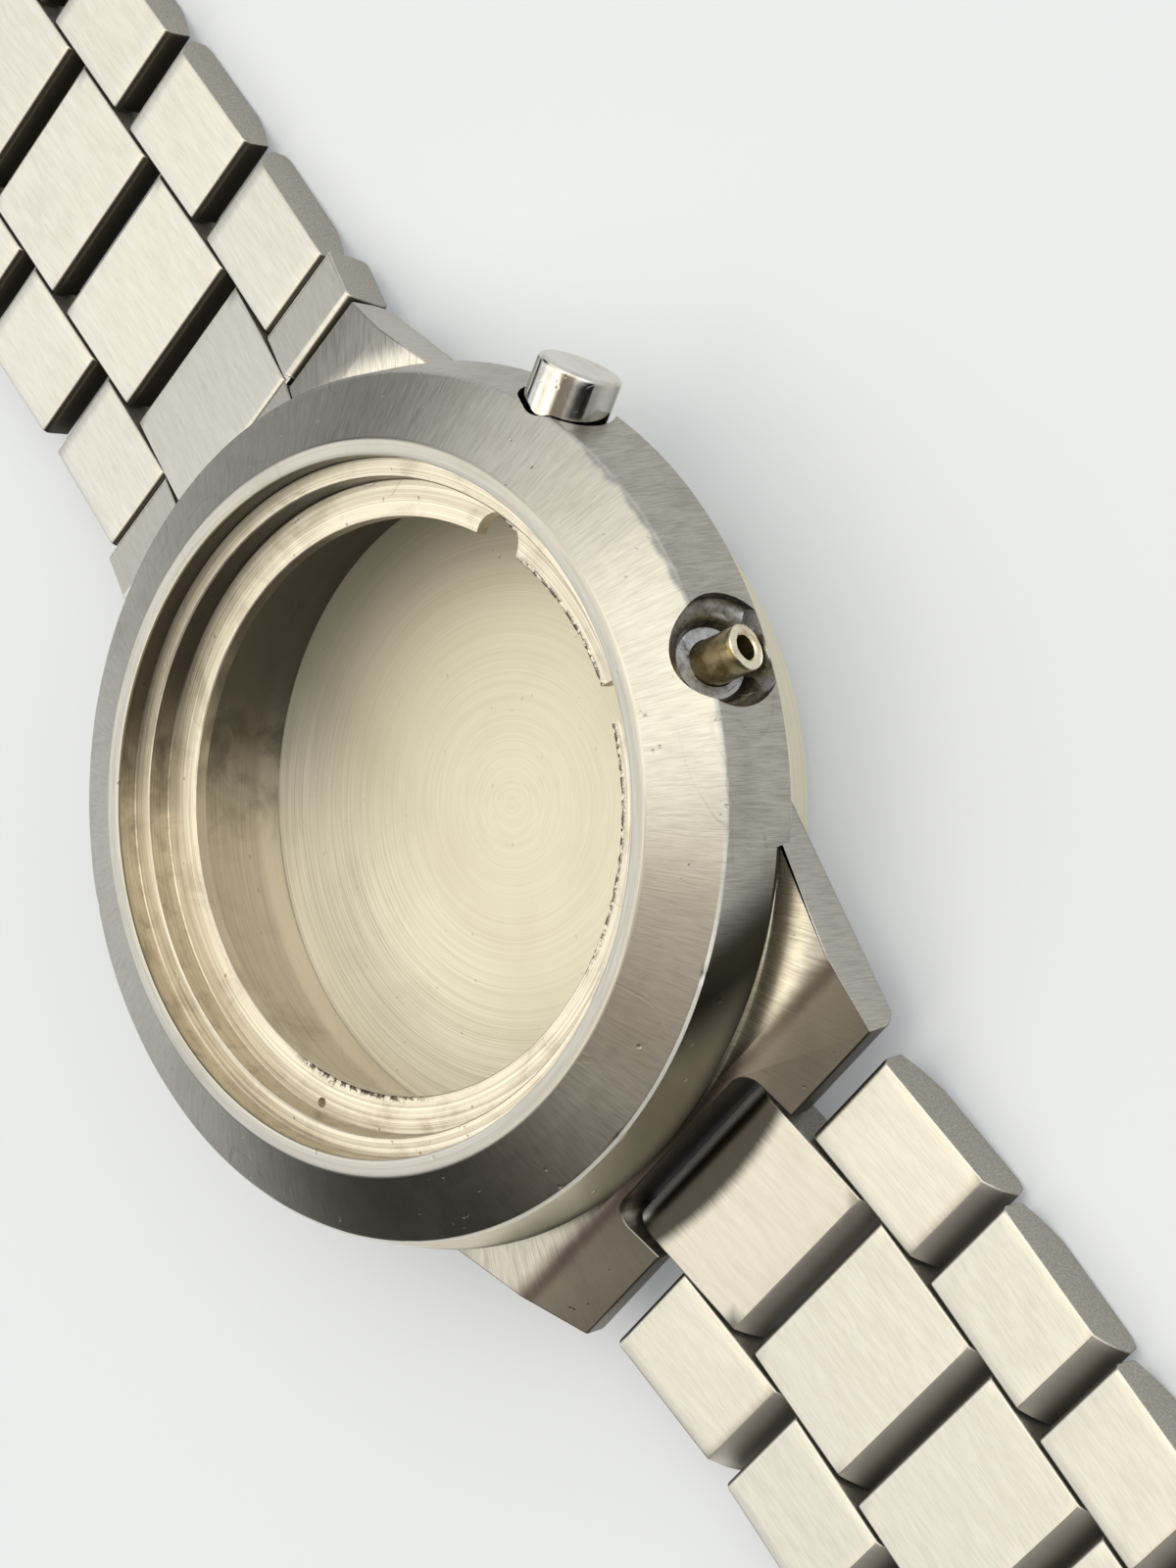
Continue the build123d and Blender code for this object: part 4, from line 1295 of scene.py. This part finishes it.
@dataclass
class CrownTube:
    """Brass-coloured tube that stands bare in the crown's recess."""

    radius: float = 1.10
    shank: float = 0.85
    bore: float = 0.60
    inner: float = 16.10
    shoulder: float = 18.60
    mouth: float = 21.05
    rounding: float = 0.10

    def wear_and_reflection(self, angle: float, radius: float, height: float, zone: int) -> tuple[float, float]:
        """Slightly dented wall and an uneven mouth."""
        turn = math.radians(angle)
        place = Vector((math.cos(turn), math.sin(turn), height * 0.8))
        uneven = 0.02 * noise.noise(place * 2.3) if zone == TubeZone.MOUTH else 0.0
        return radius + 0.012 * noise.noise(place * 1.7), height + uneven

    def build(self) -> None:
        """Make the tube."""
        soft, side, mouth = self.rounding, TubeZone.SIDE, TubeZone.MOUTH
        mesh = turned("tube", [
            Run(self.bore, self.inner, side), Run(self.shank, self.inner, side),
            Run(self.shank, self.shoulder, side, 4), Run(self.radius, self.shoulder, side, 2),
            Run(self.radius, self.mouth - soft, side, 10),
            Run(self.radius - soft * 0.3, self.mouth - soft * 0.3, mouth), Run(self.radius - soft, self.mouth, mouth),
            Run(self.bore + soft, self.mouth, mouth, 3), Run(self.bore, self.mouth - soft, mouth),
            Run(self.bore, self.inner, side, 12)], 96, self.wear_and_reflection)
        CROWN.lay(mesh)
        mark_creases(mesh, 40)
        face = BrassFinish("tube_mouth_brass", (0.80, 0.74, 0.58), (0.45, 0.36, 0.20), 0.26)
        show("crown_tube_brass", mesh, "case", ["crown_tube"],
             [BrassFinish("tube_brass_stained").build(), face.build()])


@dataclass
class Button:
    """Polished push button with its rounded rim."""

    radius: float = 2.05
    reach: float = 22.75
    skirt: float = 20.10
    wall: float = 0.45
    top: float = 0.60
    stem_radius: float = 0.50
    stem_depth: float = 0.30
    rounding: float = 0.22

    def build(self) -> None:
        """Make the button's cap."""
        soft, ceiling, inner = self.rounding, self.reach - self.top, self.radius - self.wall
        socket = ceiling + self.stem_depth
        rim = [Run(self.radius - soft * (1 - math.cos(turn)), self.reach - soft * (1 - math.sin(turn)), 0)
               for turn in (math.pi / 2 * number / 6 for number in range(1, 7))]
        mesh = turned("cap", [
            Run(self.radius, self.skirt, 0, 2), Run(self.radius, self.reach - soft, 0, 8), *rim,
            Run(0, self.reach, 0, 8), Run(0, socket, 0), Run(self.stem_radius, socket, 0),
            Run(self.stem_radius, ceiling, 0), Run(inner, ceiling, 0), Run(inner, self.skirt, 0, 2)], 128)
        BUTTON.lay(mesh)
        mark_creases(mesh, 35)
        finish = ButtonFinish("button_polished", (0.62, 0.60, 0.55), (0.26, 0.225, 0.165), Grain.SANDED,
                              spacing=0.35, tone=0.10, roughness=0.12, relief=0.002, tarnish=0.3, patch=1.2,
                              pit_size=0.5, pit_share=0.40, pit_depth=0.012)
        show("push_button_cap", mesh, "pusher", ["pusher_cap"], [finish.build()])


@dataclass
class ReturnSpring:
    """Button's return spring, a smoothed copy of its CAD shape."""

    travel: float = 0.80

    def build(self) -> None:
        """Make the spring."""
        outward = BUTTON.outward()
        mesh = merged_copy("pusher_spring")
        mark_creases(mesh, 40)
        reaches = [vert.co.dot(outward) for vert in mesh.vertices]
        foot, length = min(reaches), max(reaches) - min(reaches)
        item = show("button_return_spring", mesh, "case", ["pusher_spring"],
                    [wire_finish("return_spring_wire").build()])
        tuple(outward * foot + Vector((0.0, 0.0, BUTTON.height * MM)))
        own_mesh(item)


Outline = list[tuple[float, float]]


@dataclass(frozen=True)
class LinkShape:
    """Side outline of a link, about its near hinge pin, as (outward, height) points."""

    length: float = 8.27
    thickness: float = 2.60
    nose_foot: float = 0.95
    nose_round: float = 0.38
    setback: float = 1.22
    end_shade: float = 0.90
    toe: float = 0.67
    toe_round: float = 0.20
    heel: float = 2.40
    bevel: float = 0.11

    def far_end(self) -> Outline:
        """Points of the top far edge, the sloping end face and the toe, from the link's near end."""
        edge = (self.length - self.setback, self.thickness)
        low = (self.length, self.end_shade)
        run = math.hypot(self.setback, edge[1] - low[1])
        slope = ((low[0] - edge[0]) / run, (low[1] - edge[1]) / run)
        points = [(edge[0] - 0.06, edge[1]), (edge[0] - 0.01, edge[1] - 0.02),
                  (edge[0] + slope[0] * 0.05, edge[1] + slope[1] * 0.06)]
        for number in range(1, 9):
            share = number / 9
            swell = 0.10 * math.sin(math.pi * share)
            points.append((edge[0] + (low[0] - edge[0]) * share - slope[1] * swell,
                           edge[1] + (low[1] - edge[1]) * share + slope[0] * swell))
        points += [low, (self.length - self.toe_round, self.toe_round), (self.length - self.toe, 0.0)]
        return points

    def outline(self, near_pin: float) -> Outline:
        """Whole outline of a centre or side link."""
        corner = [(self.nose_round * (1 - math.sin(turn)), self.thickness - self.nose_round * (1 - math.cos(turn)))
                  for turn in (math.pi / 2 * (1 - number / 6) for number in range(7))]
        top = [(self.nose_round + (self.length - self.setback - self.nose_round) * number / 10, self.thickness)
               for number in range(1, 10)]
        heel = [(self.heel * (1 - number / 5), self.nose_foot * number / 5 - 0.10 * math.sin(math.pi * number / 5))
                for number in range(0, 5)]
        points = [(0.0, self.nose_foot), *corner, *top, *self.far_end(), *heel]
        return [(along - near_pin, up - self.thickness / 2) for along, up in points]

    def nose_outline(self, near_pin: float) -> Outline:
        """Whole outline of the centre link that hangs on the spring bar."""
        half = self.thickness / 2
        nose = [(-half * math.sin(turn), -half * math.cos(turn))
                for turn in (math.pi * number / 16 for number in range(17))]
        stretch = self.length - self.setback - near_pin
        top = [(stretch * number / 6, half) for number in range(1, 6)]
        return [*nose, *top, *[(along - near_pin, up - half) for along, up in self.far_end()]]


def inset(outline: Outline, depth: float) -> Outline:
    """Outline moved inwards by a depth; it runs so that its inside is on the right."""
    moved = []
    for number, (along, up) in enumerate(outline):
        before, after = outline[number - 1], outline[(number + 1) % len(outline)]
        first = Vector((along - before[0], up - before[1])).normalized()
        second = Vector((after[0] - along, after[1] - up)).normalized()
        inward = (Vector((first.y, -first.x)) + Vector((second.y, -second.x))).normalized()
        stretch = 1 / max(0.6, inward.dot(Vector((first.y, -first.x))))
        moved.append((along + inward.x * depth * stretch, up + inward.y * depth * stretch))
    return moved


def bar(name: str, outline: Outline, low: float, high: float, bevel: float) -> bpy.types.Mesh:
    """Closed bar across the bracelet from a side outline, with rounded rims."""
    rows = []
    for turn in (0.0, 30.0, 60.0, 90.0):
        out, deep = math.sin(math.radians(turn)), math.cos(math.radians(turn))
        rows.append((bevel * (1 - out), bevel * (1 - deep)))
    layers = [(low + along, depth) for depth, along in rows]
    span = high - low - 2 * bevel
    layers += [(low + bevel + span * number / 10, 0.0) for number in range(1, 10)]
    layers += [(high - along, depth) for depth, along in reversed(rows)]
    mesh = bpy.data.meshes.new(name)
    with edited(mesh) as shell:
        rings = [[shell.verts.new((x * MM, y * MM, z * MM)) for y, z in (inset(outline, depth) if depth else outline)]
                 for x, depth in layers]
        for ring, after in zip(rings, rings[1:]):
            for number in range(len(outline)):
                shell.faces.new((ring[number - 1], ring[number], after[number], after[number - 1]))
        shell.faces.new(rings[0])
        shell.faces.new(reversed(rings[-1]))
        bmesh.ops.recalc_face_normals(shell, faces=shell.faces)
    return mesh


def crossing(radius: float, half_length: float, along: float) -> bpy.types.Mesh:
    """Bore cutter across the bracelet at a distance along a link."""
    mesh = rod(radius, -half_length, half_length, 0, 32)
    mesh.transform(Matrix.Translation((0, along * MM, 0)) @ Matrix.Rotation(math.radians(90), 4, "Y"))
    return mesh


class BraceletEnd(Enum):
    """Half of the bracelet, with the side of the head that it leaves from."""

    SIX = "6"
    TWELVE = "12"


@dataclass
class Bracelet:
    """Both halves of the bracelet: links hung on the spring bars by one geometry tree."""

    centre_half: float = 4.88
    side_inner: float = 5.05
    side_outer: float = 10.45
    centre_near: float = 1.65
    side_near: float = 2.37
    pitch: float = 4.285
    first_pin: float = 4.62
    pin_bore: float = 0.45
    bar_bore: float = 0.80
    dent: float = 0.010
    dents_per_metre: float = 420.0
    fork_rounding: float = 0.05
    shape: LinkShape = field(default_factory=LinkShape)

    def tree(self) -> bpy.types.GeometryNodeTree:
        """Geometry tree that dents a link and hangs one or two of it on a hinge."""
        nodes, given = geometry_group("hung_links", {
            "Link": "Geometry", "Count": "Int", "First": "Vector", "Spacing": "Vector", "Hinge": "Vector",
            "Turn": "Vector", "Dent": "Float", "Seed": "Float", "Finish": "Material"})
        place = nodes.scaled(nodes.add("GeometryNodeInputPosition"), self.dents_per_metre)
        moved = nodes.vector("ADD", place, nodes.join(given["Seed"], given["Seed"] * 1.7, 0.0))
        swell = (nodes.noise(moved, 1.0, 2.0, 0.5) - 0.5) * given["Dent"]
        push = nodes.scaled(nodes.add("GeometryNodeInputNormal"), swell)
        dented = nodes.add("GeometryNodeSetPosition", None, {"Geometry": given["Link"], "Offset": push})
        spots = nodes.add("GeometryNodeMeshLine", {"mode": "OFFSET"},
                          {"Count": given["Count"], "Start Location": given["First"], "Offset": given["Spacing"]})
        placed = nodes.add("GeometryNodeInstanceOnPoints", None, {"Points": spots, "Instance": dented})
        hung = nodes.add("GeometryNodeTransform", None,
                         {"Geometry": placed, "Translation": given["Hinge"], "Rotation": given["Turn"]})
        return close_group(nodes, hung, given["Finish"])

    def hinges(self, end: BraceletEnd) -> list[tuple[str, Vector, float]]:
        """Bodies of one half with their near hinges in metres and their fall below level, in radians."""
        joints = [joint for joint in frame["joints"] if joint["name"].startswith(f"hinge_{end.value}_")]
        joints.sort(key=lambda joint: int(joint["name"].rsplit("_", 1)[1]))
        places = [Vector(joint["pos_m"]) for joint in joints]
        falls = [math.atan2(here.z - after.z, abs(after.y - here.y)) for here, after in zip(places, places[1:])]
        return [(joint["child"], place, fall) for joint, place, fall in zip(joints, places, [*falls, 0.0])]

    def build(self) -> None:
        """Make every link."""
        finish = LinkFinish("links_brushed").build()
        tree = self.tree()
        centre = bar("centre", self.shape.outline(self.centre_near), -self.centre_half, self.centre_half,
                     self.shape.bevel)
        centre = carved(centre, [crossing(self.pin_bore, 6.0, along) for along in (0.0, self.pitch)])
        nose_near = self.centre_near + self.pitch - self.first_pin
        nose = bar("nose", self.shape.nose_outline(nose_near), -self.centre_half, self.centre_half,
                   self.shape.bevel)
        nose = carved(nose, [crossing(self.bar_bore, 6.0, 0.0), crossing(self.pin_bore, 6.0, self.first_pin)])
        half = (self.side_outer - self.side_inner) / 2
        side = bar("side", self.shape.outline(self.side_near), -half, half, self.shape.bevel)
        middle = (self.side_outer + self.side_inner) / 2 * MM
        for end in BraceletEnd:
            away = math.pi if end is BraceletEnd.SIX else 0.0
            for seed, (body, hinge, fall) in enumerate(self.hinges(end)):
                if body == "end_link_12":
                    node = body
                    mesh = cad_copy(node, self.fork_rounding)
                else:
                    row = body.rsplit("_", 1)[1]
                    in_pair = body.startswith("sides")
                    is_nose = body == "centre_6_1"
                    link = side if in_pair else nose if is_nose else centre
                    node = f"side_links_{end.value}_{row}" if in_pair else f"centre_link_{end.value}_{row}"
                    mesh = grown(link, tree, {
                        "Count": 2 if in_pair else 1, "First": (-middle if in_pair else 0.0, 0.0, 0.0),
                        "Spacing": (2 * middle, 0.0, 0.0), "Hinge": tuple(hinge), "Turn": (-fall, 0.0, away),
                        "Dent": self.dent * MM, "Seed": 3.7 * seed + away, "Finish": finish})
                show(f"bracelet_{body}", even_shading(mesh, 32), body, [node], [finish])


@dataclass
class InnerParts:
    """Pins, springs, seals and button insides, which keep their CAD shapes."""

    def build(self) -> None:
        """Dress the CAD nodes that stay."""
        steel = SteelFinish("pins_ground", (0.42, 0.41, 0.38), STEEL_SHADE, Grain.CROSSWISE, roughness=0.28).build()
        spring = wire_finish("spring_wire").build()
        rubber = RubberFinish("seal_rubber_black").build()
        for name, item in frame["nodes"].items():
            if item.hide_render:
                continue
            piece = name.removeprefix("spring_bar_")      # a spring bar's tube and tips aren't springs
            if "gasket" in piece:
                material = rubber
            elif "spring" in piece or piece == "pusher_clip":
                material = spring
            else:
                material = steel
            item.data.materials.clear()
            item.data.materials.append(material)
            log.info("%s keeps its CAD shape", name)


@dataclass(frozen=True)
class Glow:
    """Soft patch of the room's light round a direction from the part; below 0 its strength makes a dim patch."""

    direction: Point
    low: float                    # cosine of the angle off the direction at which it starts
    high: float                   # cosine of the angle inside which it is whole
    strength: float = 1.0

    def seen(self, nodes: Nodes, way: Signal) -> Signal:
        """1 where the room is seen in the direction, fading to 0 around it."""
        unit = Vector(self.direction).normalized()
        return nodes.step(nodes.vector("DOT_PRODUCT", way, tuple(unit)), self.low, self.high)


@dataclass
class Studio:
    """Pale floor, soft light and the camera."""

    camera_place: Point = (95.01, -82.14, 143.90)
    camera_aim: Point = (10.046, -7.568, 10.20)
    camera_roll: float = -90.928          # degrees from upright
    lens: float = 89.32
    floor_half: float = 1.2               # metres
    floor_tint: Colour = (0.64, 0.665, 0.695)
    floor_light: Colour = (0.88, 0.905, 0.94)
    floor_glow: float = 0.18
    backdrop: Colour = (0.835, 0.85, 0.835)     # seen past the floor's edge
    lights: tuple[Glow, ...] = (
        Glow((-0.55, 0.25, 0.80), 0.80, 0.98, 1.564),       # high over 10 o'clock, with a dimmer core
        Glow((-0.55, 0.25, 0.80), 0.92, 0.995, -1.141),
        Glow((0.25, 0.15, 0.96), 0.92, 0.995, 1.666),       # overhead
        Glow((-0.50, 0.05, 0.86), 0.92, 0.995, 0.66),       # high over 9 o'clock
        Glow((0.36, 0.55, 0.75), 0.60, 0.96, 0.505),        # broad, over 1 o'clock
        Glow((-0.04, 0.93, 0.36), 0.92, 0.995, -1.016),     # dim, low at 12 o'clock
        Glow((-0.49, 0.87, -0.05), 0.92, 0.995, -1.416),    # dim core, level at 11 o'clock
        Glow((-0.49, 0.87, -0.05), 0.80, 0.98, 0.619),
        Glow((-0.30, -0.93, 0.20), 0.60, 0.96, -1.05),      # dim and broad, low at 7 o'clock
        Glow((-0.90, -0.10, 0.42), 0.80, 0.98, -0.84),      # dim, low at 9 o'clock
        Glow((-0.74, -0.32, 0.59), 0.60, 0.96, -0.138),     # a little dimmer over 8 o'clock
        Glow((0.62, -0.45, 0.64), 0.70, 0.99, 1.15))        # over the camera
    room_level: float = 0.775
    darkest: float = 0.03
    daylight: Colour = (0.985, 1.0, 1.02)
    cream: Colour = (1.04, 1.0, 0.885)
    cream_patch: Glow = Glow((0.05, 0.05, 0.99), 0.55, 0.92)
    brown: Colour = (1.10, 0.99, 0.84)
    brown_patch: Glow = Glow((-0.25, -0.42, 0.87), 0.86, 0.98)

    def camera(self) -> None:
        """Camera at the photograph's viewing angle."""
        data = bpy.data.cameras.new("camera")
        data.sensor_width = 36.0
        data.lens = self.lens
        data.clip_start = 0.005
        data.clip_end = 20.0
        item = bpy.data.objects.new("camera", data)
        bpy.context.scene.collection.objects.link(item)
        place = Vector(self.camera_place)
        upright = (Vector(self.camera_aim) - place).to_track_quat("-Z", "Y").to_matrix().to_4x4()
        roll = Matrix.Rotation(math.radians(self.camera_roll), 4, "Z")
        item.matrix_world = Matrix.Translation(place * MM) @ upright @ roll
        bpy.context.scene.camera = item

    def floor(self) -> None:
        """Pale floor under the part."""
        mesh = bpy.data.meshes.new("floor")
        with edited(mesh) as shell:
            bmesh.ops.create_grid(shell, x_segments=8, y_segments=8, size=self.floor_half)
        item = hidden_object("floor", mesh)
        material, nodes, shader = new_material("floor_paper")
        surface = Surface(nodes)
        tone = nodes.noise(surface.where, 1 / 60, 2.0, 0.5)
        faint = tuple(part * 0.97 for part in self.floor_tint)
        feed(nodes, shader, Base_Color=nodes.mix(tone * 0.5, self.floor_tint, faint), Roughness=0.9,
             Specular_IOR_Level=0.1)
        rays = [nodes.add("ShaderNodeLightPath", output=f"Is {kind} Ray")
                for kind in ("Camera", "Glossy", "Transmission")]
        seen = (rays[0] + rays[1] + rays[2]).at_most(1.0) * self.floor_glow
        glow = nodes.add("ShaderNodeEmission", None, {"Color": (*self.floor_light, 1.0), "Strength": 1.0})
        both = nodes.add("ShaderNodeMixShader", None, {0: seen, 1: Signal(nodes, shader.outputs[0]), 2: glow})
        leave = next(node for node in material.node_tree.nodes if node.type == "OUTPUT_MATERIAL")
        material.node_tree.links.new(both.socket, leave.inputs["Surface"])
        mesh.materials.append(material)

    def world(self) -> None:
        """Soft room light in bright and dim patches, and a pale backdrop for the camera."""
        world = bpy.data.worlds.new("room")
        world.use_nodes = True
        bpy.context.scene.world = world
        nodes = Nodes(world.node_tree)
        back = next(node for node in world.node_tree.nodes if node.type == "BACKGROUND")
        way = nodes.add("ShaderNodeTexCoord", output="Generated")
        level = self.room_level
        for glow in self.lights:
            level = level + glow.seen(nodes, way) * glow.strength
        level = level.at_least(self.darkest)
        seen = nodes.add("ShaderNodeLightPath", output="Is Camera Ray")
        level = level + (1.0 - level) * seen          # the camera sees an even backdrop, not the patches
        colour = nodes.mix(self.cream_patch.seen(nodes, way), self.daylight, self.cream)
        colour = nodes.mix(self.brown_patch.seen(nodes, way), colour, self.brown)
        colour = nodes.mix(seen, colour, self.backdrop)
        world.node_tree.links.new(colour.socket, back.inputs["Color"])
        world.node_tree.links.new(level.socket, back.inputs["Strength"])

    def build(self) -> None:
        """Set up the picture."""
        self.camera()
        self.floor()
        self.world()
        bpy.context.scene.view_settings.view_transform = "Standard"


def main() -> None:
    """Build the classes in order."""
    logging.basicConfig(level=logging.INFO, format="%(name)s: %(message)s")
    for part in (Head(), LugPlate(), CaseBack(), CrownTube(), Button(), ReturnSpring(), Bracelet(), InnerParts(),
                 Studio()):
        part.build()
        log.info("%s done", type(part).__name__)


if __name__ == "__main__":
    main()
